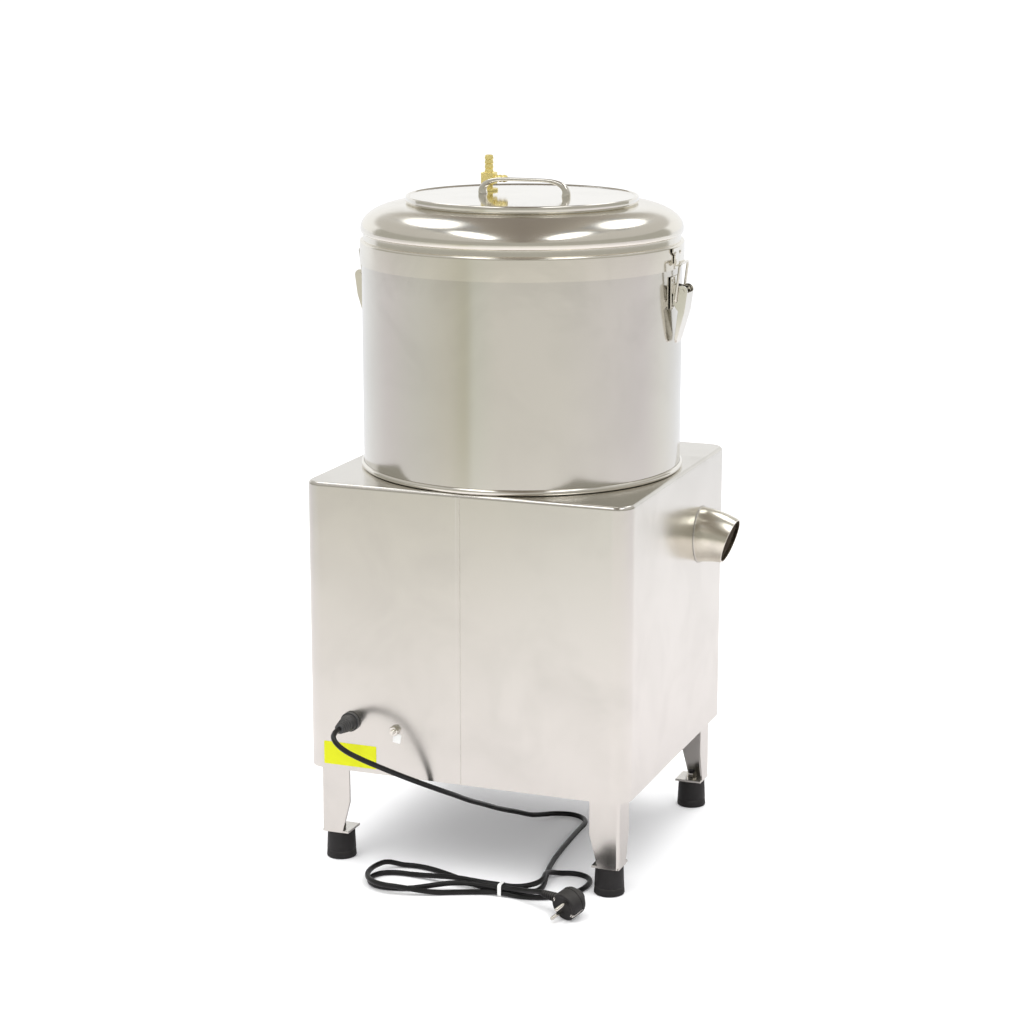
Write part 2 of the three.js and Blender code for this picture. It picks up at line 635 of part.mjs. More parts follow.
// Side latches, built at +X: x is the distance from the drum's axis

const pivotX = drumRadius + latch.pivotOut;
const pivotZ = skirtBottom - latch.pivotDrop;
const bailX = drumRadius + latch.bailOut;
const bailZ = pivotZ - latch.bailDrop;
const hookFace = skirtRadius + seat + latch.sheet;
const cupX = hookFace + latch.cup;
const cupZ = skirtTop - latch.hookTop + latch.neckHeight;
const barX = cupX + latch.cup + latch.sheet + seat + latch.wire;
const barZ = cupZ;

// An outline in x and z raised across y and centred there.
const across = (outline, width) =>
  solid(raised(outline, width).rotateX(Math.PI / 2).translate(0, width / 2, 0));

function latchHook() {
  const outerCurl = latch.cup + latch.sheet;
  const outline = [
    [hookFace - latch.sheet, skirtTop], [hookFace - latch.sheet, cupZ],
    ...arc(cupX, cupZ, outerCurl, outerCurl, 180, 360, 8).slice(1),
    [cupX + outerCurl, cupZ + latch.lip], [cupX + latch.cup, cupZ + latch.lip],
    ...arc(cupX, cupZ, latch.cup, latch.cup, 360, 180, 8),
    [hookFace, skirtTop],
  ];
  const half = latch.hookWidth / 2;
  const neck = latch.neckWidth / 2;
  const waist = cupZ + latch.neckHeight;
  const front = [
    [-half, skirtTop], [-half, waist + neck / 2], [-neck, waist], [-neck, cupZ - 2 * outerCurl],
    [neck, cupZ - 2 * outerCurl], [neck, waist], [half, waist + neck / 2], [half, skirtTop],
  ];
  const mask = solid(raised(front, latch.pivotOut * 2).rotateX(Math.PI / 2).rotateZ(Math.PI / 2)
    .translate(drumRadius, 0, 0));
  return across(outline, latch.hookWidth).intersect(mask);
}

function latchBase() {
  const face = drumRadius + seat;
  const top = skirtBottom - latch.baseDrop;
  const half = latch.baseWidth / 2;
  const plate = block([face, -half, top - latch.baseHeight], [face + latch.sheet, half, top]);
  const ear = [
    [face, pivotZ - latch.earRise], ...arc(pivotX, pivotZ, latch.earRadius, latch.earRadius, -60, 60, 6),
    [face, pivotZ + latch.earRise],
  ];
  const ears = across(ear, latch.earWidth);
  const slot = across([
    [face + latch.sheet, pivotZ - latch.baseHeight], [pivotX * 2, pivotZ - latch.baseHeight],
    [pivotX * 2, pivotZ + latch.baseHeight], [face + latch.sheet, pivotZ + latch.baseHeight],
  ], latch.earWidth - 2 * latch.sheet);
  const hole = rod(latch.pinRadius + seat, latch.baseWidth, facets.pin, "y", [pivotX, -half, pivotZ]);
  return cut(join(plate, ears), slot, hole);
}

function latchPin() {
  const half = latch.leverWidth / 2 + seat;
  const head = latch.pinHeadHeight;
  return join(
    rod(latch.pinRadius, 2 * half, facets.pin, "y", [pivotX, -half, pivotZ]),
    rod(latch.pinHead, head, facets.pin, "y", [pivotX, half, pivotZ]),
    rod(latch.pinHead, head, facets.pin, "-y", [pivotX, -half, pivotZ]));
}

// The over-centre lever: a tapered channel whose web stops below the pivot, so that it can swing.
function latchLever() {
  const r = latch.headRadius;
  const inner = r - latch.sheet;
  const kneeZ = pivotZ - latch.kneeDrop;
  const kneeX = drumRadius + latch.kneeOut;
  const tipZ = pivotZ - latch.tipDrop;
  const tipX = drumRadius + latch.tipOut;
  const edgeX = drumRadius + seat + latch.sheet + slip;
  const outline = [
    ...arc(pivotX, pivotZ, r, r, 120, 0, 8), [kneeX + latch.sheet, kneeZ],
    [tipX + latch.tipThick, tipZ + latch.sheet], [tipX + latch.tipThick / 2, tipZ],
    [tipX, tipZ + latch.sheet], [kneeX - latch.kneeDepth, kneeZ],
    [edgeX, pivotZ - latch.edgeDrop], [edgeX, pivotZ - latch.bailDrop / 2],
  ];
  const channel = [
    [pivotX + 2 * r, pivotZ + 2 * r], [pivotX + 2 * r, pivotZ - latch.sheet],
    [pivotX + inner, pivotZ - latch.sheet], [kneeX, kneeZ], [tipX + latch.sheet / 4, tipZ + r],
    [tipX - 2 * r, tipZ + r], [drumRadius - r, pivotZ + 2 * r],
  ];
  const head = latch.leverWidth / 2;
  const tip = latch.tipWidth / 2;
  const front = [
    [-head, pivotZ + 2 * r], [-head, kneeZ], [-tip, tipZ + tip / 2], [-tip / 2, tipZ - latch.sheet],
    [tip / 2, tipZ - latch.sheet], [tip, tipZ + tip / 2], [head, kneeZ], [head, pivotZ + 2 * r],
  ];
  const mask = solid(raised(front, latch.pivotOut * 3).rotateX(Math.PI / 2).rotateZ(Math.PI / 2)
    .translate(drumRadius - latch.pivotOut / 2, 0, 0));
  const body = across(outline, latch.leverWidth).intersect(mask);
  const wide = latch.leverWidth + 2 * overrun;
  return cut(body, across(channel, latch.leverWidth - 2 * latch.sheet),
    rod(latch.pinRadius + seat, wide, facets.pin, "y", [pivotX, -wide / 2, pivotZ]),
    rod(latch.wire + seat, wide, facets.pin, "y", [bailX, -wide / 2, bailZ]));
}

// The wire bail: its ends sit in the lever, and its bar lies just outside the hook's lip.
function latchBail() {
  const half = latch.bailWidth / 2;
  const end = latch.leverWidth / 2 - latch.sheet - latch.bite;
  const points = [
    [bailX, -end, bailZ], [bailX, -half, bailZ], [barX, -half, barZ], [barX, half, barZ],
    [bailX, half, bailZ], [bailX, end, bailZ],
  ];
  return tube(bentWire(points, latch.bailBend), latch.wire, facets.wire, latch.bailSteps);
}

// Peeling disc and its drive

// The abrasive disc: a flat plate with a hub below and three rounded ridges that toss the load.
function abrasiveDisc() {
  const plate = turned([
    [0, discBottom], [discRadius, discBottom], [discRadius, discTop - disc.edge],
    [discRadius - disc.edge, discTop], [0, discTop],
  ], facets.drum);
  const hub = bar(disc.hub, discBottom - disc.hubDepth, discBottom + seat, facets.pipe);
  const length = discRadius - disc.ridgeInner - disc.ridgeMargin;
  const ridge = Array.from({ length: disc.ridges }, (_, i) => {
    const section = (share) => {
      const x = disc.ridgeInner + length * share;
      const swell = Math.sin(Math.PI * Math.min(1 / 2, disc.ridgeStartShare + share));
      return arc(0, discTop - seat, (disc.ridgeWidth / 2) * swell, disc.ridgeHeight * swell, 0, 180, 8)
        .map(([y, z]) => [x, y, z]);
    };
    return spun(solid(loft(disc.ridgeShares.map(section))), (i * 2 * Math.PI) / disc.ridges);
  });
  const bore = bar(shaft.stub + seat, discBottom - disc.hubDepth - overrun, discTop + overrun, facets.pipe);
  return cut(join(plate, hub, ...ridge), bore);
}

// The domed nut that holds the disc down on the shaft.
function discNutSolid() {
  const low = discTop + seat;
  const cap = turned([
    [0, low], [discNut.radius, low], [discNut.radius, low + discNut.grip],
    ...arc(0, low + discNut.grip, discNut.radius, discNut.height - discNut.grip, 0, 90, 6).slice(1),
  ], facets.pipe);
  return cut(cap, bar(shaft.stub + seat, low - overrun, discTop + shaft.stubRise + seat, facets.pipe));
}

const shaftShoulder = discBottom - disc.hubDepth - seat;
const beltLevel = (pulleyLow + pulleyTop) / 2;

// The upright drive shaft, stepped for the pulley, with a shoulder under the disc's hub.
function driveShaft() {
  return turned([
    [0, pulleyLow - shaft.foot], [shaft.radius, pulleyLow - shaft.foot],
    [shaft.radius, shaftShoulder - shaft.coneHeight], [shaft.cone, shaftShoulder - shaft.foot],
    [shaft.cone, shaftShoulder], [shaft.stub, shaftShoulder], [shaft.stub, discTop + shaft.stubRise],
    [0, discTop + shaft.stubRise],
  ], facets.pipe);
}

// The bearing housing: a flange bolted under the sump and a tower that stands above the water.
function housingSolid() {
  const flangeTop = sumpFloor - seat;
  const flangeLow = flangeTop - bearingHousing.flangeThick;
  const seatDepth = bearing.height + seat;
  const upperSeat = housingTop - seal.height - seatDepth - 2 * seat;
  const wide = bearing.radius + seat;
  return turned([
    [wide, flangeLow], [bearingHousing.flange, flangeLow], [bearingHousing.flange, flangeTop],
    [bearingHousing.tower, flangeTop], [bearingHousing.tower, housingTop - bearingHousing.lip],
    [bearingHousing.tower - bearingHousing.lip, housingTop], [wide, housingTop],
    [wide, upperSeat], [bearingHousing.bore, upperSeat],
    [bearingHousing.bore, flangeLow + seatDepth], [wide, flangeLow + seatDepth],
  ], facets.pulley);
}

// A ring from its lower level: outer and inner radius and height.
const ring = (outside, inside, low, height, sides) => turned([
  [outside, low], [outside, low + height], [inside, low + height], [inside, low],
], sides);

const bearingRing = (low, height) => ring(bearing.radius, shaft.radius + seat, low, height, facets.pipe);

// A pulley's rim from its lower to its upper level, with a V groove for the belt.
function grooved(radius, low, high) {
  const groove = belt.height / 2 + seat;
  const inner = groove * belt.grooveShare;
  const deep = radius - belt.thick - seat;
  return [
    [radius, low], [radius, beltLevel - groove], [deep, beltLevel - inner], [deep, beltLevel + inner],
    [radius, beltLevel + groove], [radius, high],
  ];
}

// The large pulley: grooved rim, thin web with round holes, and a hub.
function drivenPulley() {
  const rimInner = bigPulleyRadius - bigPulley.rim;
  const { hub, web } = bigPulley;
  const body = turned([
    [shaft.radius + seat, pulleyLow], [hub, pulleyLow], [hub, beltLevel - web / 2],
    [rimInner, beltLevel - web / 2], [rimInner, pulleyLow],
    ...grooved(bigPulleyRadius, pulleyLow, pulleyTop),
    [rimInner, pulleyTop], [rimInner, beltLevel + web / 2], [hub, beltLevel + web / 2], [hub, pulleyTop],
    [shaft.radius + seat, pulleyTop],
  ], facets.pulley);
  const place = (hub + rimInner) / 2;
  const holes = Array.from({ length: bigPulley.holes }, (_, i) => {
    const angle = (i * 2 * Math.PI) / bigPulley.holes;
    const radius = (rimInner - hub) * bigPulley.holeShare;
    return moved(bar(radius, pulleyLow - overrun, pulleyTop + overrun, facets.pin),
      place * Math.cos(angle), place * Math.sin(angle), 0);
  });
  return cut(body, ...holes);
}

// The small pulley on the motor's shaft, at the same level as the large one.
function motorPulley() {
  const bore = motor.shaft + seat;
  const low = beltLevel - smallPulley.height / 2;
  const high = beltLevel + smallPulley.height / 2;
  return turned([[bore, low], ...grooved(smallPulley.radius, low, high), [bore, high]], facets.pulley);
}

// The belt's outline round both pulleys, at a distance from their groove bottoms.
function beltOutline(out) {
  const big = bigPulleyRadius - belt.thick + out;
  const small = smallPulley.radius - belt.thick + out;
  const lean = THREE.MathUtils.radToDeg(Math.asin((big - small) / motorDistance));
  return [
    ...arc(0, 0, big, big, 180 - lean, 360 + lean, facets.pipe),
    ...arc(0, motorDistance, small, small, lean, 180 - lean, facets.pin),
  ];
}

function driveBelt() {
  const half = ((belt.height - seat) / 2) * belt.grooveShare;
  return raised(beltOutline(belt.thick), 2 * half, [beltOutline(seat)]).translate(0, 0, beltLevel - half);
}

const shaftBottom = motorTop - motor.shaftDepth;
const shaftTop = motorTop + motor.shaftRise;

// The motor: a ribbed body between two end bells, open on top for its shaft.
function motorBody() {
  const ribTop = motorTop - motor.endBell;
  const ribLow = motorBottom + motor.endBell;
  const outline = Array.from({ length: motor.ribs }, (_, i) => {
    const step = 360 / motor.ribs;
    const at = (radius, share) => arc(0, 0, radius, radius, (i + share) * step, (i + share) * step, 1)[0];
    const { lowEnd, highStart, highEnd } = motor.ribShares;
    const low = motor.radius - motor.ribDepth;
    return [at(low, 0), at(low, lowEnd), at(motor.radius, highStart), at(motor.radius, highEnd)];
  }).flat();
  const ribs = solid(raised(outline, ribTop - ribLow).translate(0, 0, ribLow));
  const bellRadius = motor.radius - motor.ribDepth / 2;
  const core = motor.radius - motor.ribDepth - seat;
  const bells = turned([
    [0, motorBottom], [bellRadius - motor.ribMargin, motorBottom],
    [bellRadius, motorBottom + motor.ribMargin], [bellRadius, ribLow + seat], [core, ribLow + seat],
    [core, ribTop - seat], [bellRadius, ribTop - seat],
    [bellRadius, motorTop - motor.ribMargin], [bellRadius - motor.ribMargin, motorTop],
    [motor.pilot, motorTop], [motor.pilot, motorTop + motorPlate.thick], [0, motorTop + motorPlate.thick],
  ], facets.pulley);
  const mouthEnd = motorTop + motorPlate.thick + overrun;
  const bore = bar(motor.shaft + seat, shaftBottom - seat, mouthEnd, facets.pipe);
  return cut(join(ribs, bells), bore);
}

const motorShaft = () => turned([
  [0, shaftBottom], [motor.shaft, shaftBottom], [motor.shaft, shaftTop - seat],
  [motor.shaft - seat, shaftTop], [0, shaftTop],
], facets.pin);

// The plate that carries the motor, with a tab turned up at each cabinet wall.
function motorPlateSolid() {
  const low = motorTop + seat;
  const halfX = cabinet.width / 2 - cabinet.sheet - seat;
  const near = Math.min(motorDistance + motorPlate.width / 2, cabinet.depth / 2 - cabinet.sheet - seat);
  const far = near - motorPlate.width;
  const plate = block([-halfX, far, low], [halfX, near, low + motorPlate.thick]);
  const tabs = [-halfX, halfX - motorPlate.thick].map((x) =>
    block([x, far, low], [x + motorPlate.thick, near, low + motorPlate.tab]));
  const hole = bar(motor.pilot + seat, low - overrun, low + motorPlate.thick + overrun, facets.pipe);
  return cut(join(plate, ...tabs), moved(hole, 0, motorDistance, 0));
}

// Discharge frame and door

const frameFront = -(drumRadius + mouth.reach);
const mouthLow = discTop + mouth.bottom;
const mouthHigh = mouthLow + mouth.height;
const frameHalf = mouth.width / 2 + mouth.wall;
const doorBack = frameFront - door.seal - 2 * seat;
const doorFront = doorBack - door.thick;
const doorHalf = frameHalf + door.margin;
const doorLow = mouthLow - mouth.wall - door.margin;
const doorHigh = mouthHigh + mouth.wall + door.margin;
const hingeX = doorHalf + door.barrel + slip;
const hingeY = doorBack - door.thick / 2;
const middleZ = (mouthLow + mouthHigh) / 2;

// The cast frame: a tunnel from the drum with a saddle flange, two hinge lugs and a keeper.
function dischargeFrame() {
  const round = bar(drumRadius + seat, doorLow - door.lug, doorHigh + door.lug, facets.drum);
  const tunnel = block(
    [-frameHalf, frameFront, mouthLow - mouth.wall], [frameHalf, -drumRadius / 2, mouthHigh + mouth.wall]);
  const edge = mouth.saddle;
  const saddleBlock = block(
    [-frameHalf - edge, -drumRadius - 2 * overrun, mouthLow - mouth.wall - edge],
    [frameHalf + edge, -drumRadius / 2, mouthHigh + mouth.wall + edge]);
  const saddle = saddleBlock.intersect(
    bar(drumRadius + mouth.saddleThick, doorLow - door.lug, doorHigh + door.lug, facets.drum));
  const lugEdge = hingeX + door.barrel;
  const lugs = [doorLow + door.lugInset, doorHigh - door.lugInset - door.lug].map((z) => join(
    rod(door.barrel, door.lug, facets.pipe, "z", [hingeX, hingeY, z]),
    block([frameHalf - mouth.wall / 2, frameFront, z], [lugEdge, frameFront + 2 * mouth.wall, z + door.lug]),
    block([hingeX, hingeY, z], [lugEdge, frameFront + mouth.wall, z + door.lug])));
  const pinHole = rod(door.pin + seat, doorHigh - doorLow + 2 * door.lug, facets.pin, "z",
    [hingeX, hingeY, doorLow - door.lug]);
  const inside = mouthCutter(0);
  return cut(join(tunnel, saddle, ...lugs, keeperSolid()), round, inside, pinHole);
}

const leverX = -(doorHalf - doorLever.inset);
const leverBack = doorFront - door.rib - seat;
const leverFront = leverBack - doorLever.thick;

// The keeper beside the frame: an arm that reaches past the door and turns in front of the tongue.
function keeperSolid() {
  const armX = leverX - doorLever.tongue - keeper.clear;
  const low = middleZ - keeper.width / 2;
  const high = middleZ + keeper.width / 2;
  const front = leverFront - keeper.lift;
  const root = [mouth.wall / 2 - frameHalf, frameFront + 2 * mouth.wall, high];
  return join(
    block([armX - keeper.arm, frameFront, low], root),
    block([armX - keeper.arm, front - keeper.thick, low], [armX, frameFront + mouth.wall, high]),
    block([armX - keeper.arm, front - keeper.thick, low], [armX + keeper.hook, front, high]));
}

// The door's rubber seal, a flat frame round the mouth.
function doorGasket() {
  const outer = roundedRectangle(2 * frameHalf, mouth.height + 2 * mouth.wall, mouth.wall, 2);
  const inner = roundedRectangle(mouth.width + 2 * seat, mouth.height + 2 * seat, mouth.wall / 2, 2);
  return raised(outer, door.seal, [inner]).rotateX(Math.PI / 2).translate(0, frameFront - seat, middleZ);
}

// The flat door with two stiffening ribs, a hinge knuckle and a boss for its lever.
function doorSolid() {
  const plate = block([-doorHalf, doorFront, doorLow], [doorHalf, doorBack, doorHigh]);
  const ribStart = leverX + doorLever.hub + doorLever.ribGap;
  const ribs = door.ribShares.map((share) => {
    const z = doorLow + (doorHigh - doorLow) * share - door.ribWidth / 2;
    return block(
      [ribStart, doorFront - door.rib, z], [doorHalf - door.ribWidth, doorFront + seat, z + door.ribWidth]);
  });
  const knuckleLow = doorLow + door.lugInset + door.lug + 2 * seat;
  const knuckleHigh = doorHigh - door.lugInset - door.lug - 2 * seat;
  const knuckle = join(
    rod(door.barrel, knuckleHigh - knuckleLow, facets.pipe, "z", [hingeX, hingeY, knuckleLow]),
    block([doorHalf - seat, doorFront, knuckleLow], [hingeX, doorBack, knuckleHigh]));
  const pinHole = rod(door.pin + seat, doorHigh - doorLow, facets.pin, "z", [hingeX, hingeY, doorLow]);
  const boss = rod(doorLever.hub, door.rib + seat, facets.pipe, "-y", [leverX, doorFront + seat, middleZ]);
  const reach = doorFront - leverFront + doorLever.head;
  const pivot = rod(doorLever.pin, reach, facets.pin, "-y", [leverX, doorFront, middleZ]);
  const head = rod(
    doorLever.headRadius, doorLever.head - seat, facets.pin, "-y", [leverX, leverFront - seat, middleZ]);
  return cut(join(plate, ...ribs, knuckle, boss, pivot, head), pinHole);
}

const hingePin = () => rod(door.pin, doorHigh - doorLow - door.lug + 2 * door.rib, facets.pin, "z",
  [hingeX, hingeY, doorLow + door.lugInset - door.rib]);

// The door's turn handle: a hub, a hanging grip with a round end and a short tongue above.
function leverSolid() {
  const hub = rod(doorLever.hub, doorLever.thick, facets.pipe, "-y", [leverX, leverBack, middleZ]);
  const grip = block([leverX - doorLever.gripWidth / 2, leverFront, middleZ - doorLever.grip],
    [leverX + doorLever.gripWidth / 2, leverBack, middleZ]);
  const end = rod(doorLever.knob, doorLever.thick, facets.pipe, "-y",
    [leverX, leverBack, middleZ - doorLever.grip]);
  const tongue = block([leverX - doorLever.tongueWidth / 2, leverFront, middleZ],
    [leverX + doorLever.tongueWidth / 2, leverBack, middleZ + doorLever.tongue]);
  const hole = rod(doorLever.pin + seat, doorLever.thick + 2 * overrun, facets.pin, "-y",
    [leverX, leverBack + overrun, middleZ]);
  return cut(join(hub, grip, end, tongue), hole);
}

// Controls

const panelFront = -cabinet.depth / 2 - seat - panel.depth;
const buttonPlaces = [-1, 1].map((side) => button.offset + (side * button.pitch) / 2);

// The control box: an open-backed moulding with round corners and holes for the controls. It is
// built round its own middle, with y = 0 at its face.
function controlBox() {
  const shell = (inset, back, front) => {
    const loop = (shrink, y) => roundedRectangle(panel.width - 2 * (inset + shrink),
      panel.height - 2 * (inset + shrink), panel.corner - shrink - inset / 2).map(([x, z]) => [x, y, z]);
    return solid(loft([loop(0, back), loop(0, front + panel.edge), loop(panel.edge, front)]));
  };
  const outer = shell(0, panel.depth, 0);
  const inner = shell(panel.wall, panel.depth + overrun, panel.wall);
  const holes = buttonPlaces.map((x) =>
    rod(button.radius + button.slack, panel.depth, facets.pipe, "y", [x, -overrun, 0]));
  const spindle = rod(timer.spindle + seat, panel.depth, facets.pin, "y", [timer.offset, -overrun, 0]);
  return cut(outer, inner, ...holes, spindle);
}

// A push button: a plunger with a chamfered face and a collar behind the box's face.
function buttonSolid() {
  const front = -button.proud;
  const collar = panel.wall + seat;
  const body = turned([
    [0, front], [button.radius - button.edge, front], [button.radius, front + button.edge],
    [button.radius, collar], [button.radius + button.collar, collar],
    [button.radius + button.collar, collar + button.collarLength],
    [button.radius - button.edge, collar + button.collarLength],
    [button.radius - button.edge, button.length - button.proud], [0, button.length - button.proud],
  ], facets.pipe);
  return along(geometryOf(body), "y");
}

// The timer knob: a skirted disc with a raised grip bar, on its spindle.
function timerKnob() {
  const shoulder = timer.height - timer.gripRise;
  const skirt = turned([
    [0, seat], [timer.radius, seat], [timer.radius, timer.edge], [timer.radius - timer.edge, shoulder],
    [0, shoulder],
  ], facets.pulley);
  const reach = timer.radius - timer.edge;
  const grip = block([-timer.grip / 2, -reach, timer.edge], [timer.grip / 2, reach, timer.height]);
  const spindle = bar(timer.spindle, -timer.spindleLength, timer.edge, facets.pin);
  return along(geometryOf(join(skirt, grip, spindle)), "-y");
}

// Cable gland, earth terminal and cord

// The gland: a collar nut and a tapering sleeve outside and a lock nut inside. Its y = 0 is the
// cabinet's back, and the cord starts at its end.
function glandSolid() {
  const wall = -cabinet.sheet;
  return along(geometryOf(turned([
    [0, wall - gland.inner], [gland.innerNut, wall - gland.inner], [gland.innerNut, wall - seat],
    [gland.hole, wall - seat], [gland.hole, seat], [gland.nut, seat], [gland.nut, seat + gland.nutHeight],
    [gland.dome, gland.nutHeight + gland.domeLength], [gland.tip, gland.reach], [0, gland.reach],
  ], facets.pipe)), "y");
}

// The earth stud with its washer and hexagon nut, through the back panel.
function earthTerminal() {
  const wall = -cabinet.sheet;
  const washerTop = seat + terminal.washerHeight;
  const round = turned([
    [0, wall - terminal.nutHeight], [terminal.nut, wall - terminal.nutHeight], [terminal.nut, wall - seat],
    [terminal.hole, wall - seat], [terminal.hole, seat], [terminal.washer, seat],
    [terminal.washer, washerTop], [terminal.hole, washerTop], [terminal.hole, terminal.stud],
    [0, terminal.stud],
  ], facets.pin);
  const nut = solid(raised(polygon(terminal.nut, 6), terminal.nutHeight).translate(0, 0, washerTop - seat));
  return along(geometryOf(join(round, nut)), "y");
}

// The lead's route from the gland to the tie, chosen by hand.
const leadRoute = [
  [160, 254.3, 203.5], [160, 264, 203.2], [156.5, 279, 201], [146.5, 290.5, 196.5], [131.5, 295, 189.5],
  [113, 290.5, 180], [93.5, 276, 167], [70.5, 253, 149.5], [50.5, 226.5, 132], [38, 196.5, 115],
  [31.5, 163, 98], [27.5, 127, 80], [23.5, 85, 61], [17, 43, 41.5], [6, 3, 24.5], [-6, -24.4, 12.5],
  [-16.7, -49.2, 6.2], [-25.8, -61.3, 4.3], [-39, -68, 3.6], [-53.9, -68.3, 3.6], [-67.3, -62, 3.6],
  [-76.7, -50.5, 3.6], [-80, -36, 3.6], [-80.2, -14, 3.6], [-81, 10, 3.6], [-82.7, 44, 3.6],
  [-85.5, 88, 3.6], [-90.5, 130, 3.6], [-98, 166, 3.6], [-105, 193, 3.6], [-107.4, 209.5, 3.7],
  [-105.3, 220.8, 3.9], [-98.9, 230.4, 4.3], [-89.3, 236.8, 4.6], [-79.5, 239.1, 4.7], [-73.3, 239.1, 4.7],
];
// The tail's route from the tie to the plug's neck.
const tailRoute = [
  [-73.3, 246.9, 12.5], [-80.5, 247, 12.5], [-92, 249.5, 13.5], [-105, 256, 16.5], [-118, 262.4, 20],
  [-124.6, 265.1, 21.3], [-131.1, 267.6, 21.5],
];

const vectors = (points) => points.map((point) => new THREE.Vector3(...point));
const smooth = (points) => new THREE.CatmullRomCurve3(points, false, "centripetal");

// The level of a loop's cord at a share of the way round, eased between its listed levels.
function loopLevel(levelShares, share) {
  const next = Math.max(1, levelShares.findIndex(([at]) => at >= share));
  const [from, low] = levelShares[next - 1];
  const [to, high] = levelShares[next];
  return THREE.MathUtils.lerp(hank[low], hank[high], THREE.MathUtils.smoothstep(share, from, to));
}

// One teardrop loop of the hank: out from the tie along a bending centre line and back beside it.
function loopPoints({ start, reach, spread, heading, turn, turnReach, fullness, levelShares }) {
  const first = THREE.MathUtils.degToRad(heading);
  const bow = (share) => Math.sin(2 * Math.PI * share) * Math.sin(Math.PI * share) ** 2;
  const widest = bow(1 / 3);
  return Array.from({ length: hank.steps * 2 + 1 }, (_, i) => {
    const share = i / (hank.steps * 2);
    const out = reach * Math.sin(Math.PI * share) ** fullness;
    const side = -(spread * bow(share)) / widest - hank.pitch * Math.cos(Math.PI * share);
    const turning = Math.min(out, turnReach);
    const swing = (THREE.MathUtils.degToRad(turn) * turning) / turnReach / 2;
    const chord = swing === 0 ? turning : (turning * Math.sin(swing)) / swing;
    const angle = first + 2 * swing;
    const beyond = out - turning;
    return new THREE.Vector3(
      hank.x + start * hank.straight + chord * Math.cos(first + swing) + beyond * Math.cos(angle)
        - side * Math.sin(angle),
      hank.y + chord * Math.sin(first + swing) + beyond * Math.sin(angle) + side * Math.cos(angle),
      loopLevel(levelShares, share));
  });
}

// The hank's one unbroken run: in through the tie, three loops, and out again.
function hankPoints() {
  const side = hank.x - hank.straight;
  return [
    new THREE.Vector3(side, hank.y - hank.pitch, hank.low), ...loops.flatMap(loopPoints),
    new THREE.Vector3(side, hank.y + hank.pitch, hank.high),
  ];
}

// Places at an even spacing along a list of points.
function evenly(points, spacing) {
  const places = [points[0].clone()];
  let left = spacing;
  for (let i = 1; i < points.length; i += 1) {
    const run = points[i].distanceTo(points[i - 1]);
    let done = 0;
    while (run - done >= left) {
      done += left;
      places.push(points[i - 1].clone().lerp(points[i], done / run));
      left = spacing;
    }
    left -= run - done;
  }
  return places;
}

// The least gap between two runs of cord, or of one run to itself past a few diameters along it.
function leastGap(a, b) {
  const spacing = cord.radius / 3;
  const [one, two] = [evenly(a, spacing), evenly(b, spacing)];
  const skip = a === b ? Math.ceil(cord.passed / spacing) : 0;
  let least = Infinity;
  one.forEach((place, i) => {
    for (const other of two.slice(a === b ? i + skip : 0)) least = Math.min(least, place.distanceTo(other));
  });
  return least - 2 * cord.radius;
}

// The tightest bend of a run of cord: the radius through places a diameter apart.
function tightestBend(points) {
  const places = evenly(points, cord.radius);
  let least = Infinity;
  for (let i = 2; i + 2 < places.length; i += 1) {
    const corner = new THREE.Triangle(places[i - 2], places[i], places[i + 2]);
    const { a, b, c } = corner;
    const sides = a.distanceTo(b) * b.distanceTo(c) * c.distanceTo(a);
    least = Math.min(least, sides / (4 * corner.getArea() + Number.EPSILON));
  }
  return least;
}

// The strap round the four strands of the hank.
function tieStrap() {
  const halfDepth = hank.pitch + cord.radius + seat;
  const halfHeight = (hank.high - hank.low) / 2 + cord.radius + seat;
  const outline = (out) =>
    roundedRectangle(2 * (halfDepth + out), 2 * (halfHeight + out), tie.corner + out, facets.corner);
  return raised(outline(tie.wall), tie.width, [outline(0)]).rotateZ(Math.PI / 2).rotateY(Math.PI / 2)
    .translate(hank.x - tie.width / 2, hank.y, (hank.high + hank.low) / 2);
}

// The angled earthed plug: a round body with its neck to one side and two pins on its face.
function plugBody() {
  const face = plug.faceOut;
  const rear = face - plug.length;
  const body = turned([
    [0, rear], [plug.radius - plug.rear, rear], [plug.radius, rear + plug.rear],
    [plug.radius, face - plug.edge], [plug.radius - plug.edge, face], [0, face],
  ], facets.pipe);
  const neck = rod(plug.neck, plug.reach, facets.pin, "x", [0, 0, 0], plug.neckEnd);
  const roll = THREE.MathUtils.degToRad(plug.roll);
  const pins = [-1, 1].map((side) => bar(plug.pin, face - plug.edge, face + plug.pinLength, facets.pin)
    .translate([side * plug.pinPitch * Math.cos(roll), side * plug.pinPitch * Math.sin(roll), 0]));
  const clips = [-1, 1].map((side) => bar(plug.earth, rear + plug.rear, face + overrun, facets.pin)
    .translate([-side * plug.radius * Math.sin(roll), side * plug.radius * Math.cos(roll), 0]));
  return geometryOf(cut(join(body, neck, ...pins), ...clips));
}

// Assembly

// A group at a place of its parent.
function groupAt(x, y, z, parent = machine) {
  const group = new THREE.Group();
  group.position.set(x, y, z);
  parent.add(group);
  return group;
}

function addCabinet() {
  piece("cabinet_shell", cabinetShell(), materials.satin);
  piece("base_frame", baseRing(), materials.galvanised);
  const inset = leg.plateWidth / 2;
  const corners = [
    ["rear_left", 1, 1], ["rear_right", -1, 1], ["front_right", -1, -1], ["front_left", 1, -1],
  ];
  corners.forEach(([name, x, y], i) => {
    const group = groupAt(x * (cabinet.width / 2 - leg.inset), y * (cabinet.depth / 2 - leg.inset), 0);
    group.rotation.z = (i * Math.PI) / 2;
    piece(`leg_${name}`, legSolid(), materials.satin, group);
    piece(`rubber_foot_${name}`, footSolid(), materials.rubber, group).position.set(-inset, -inset, 0);
  });
}

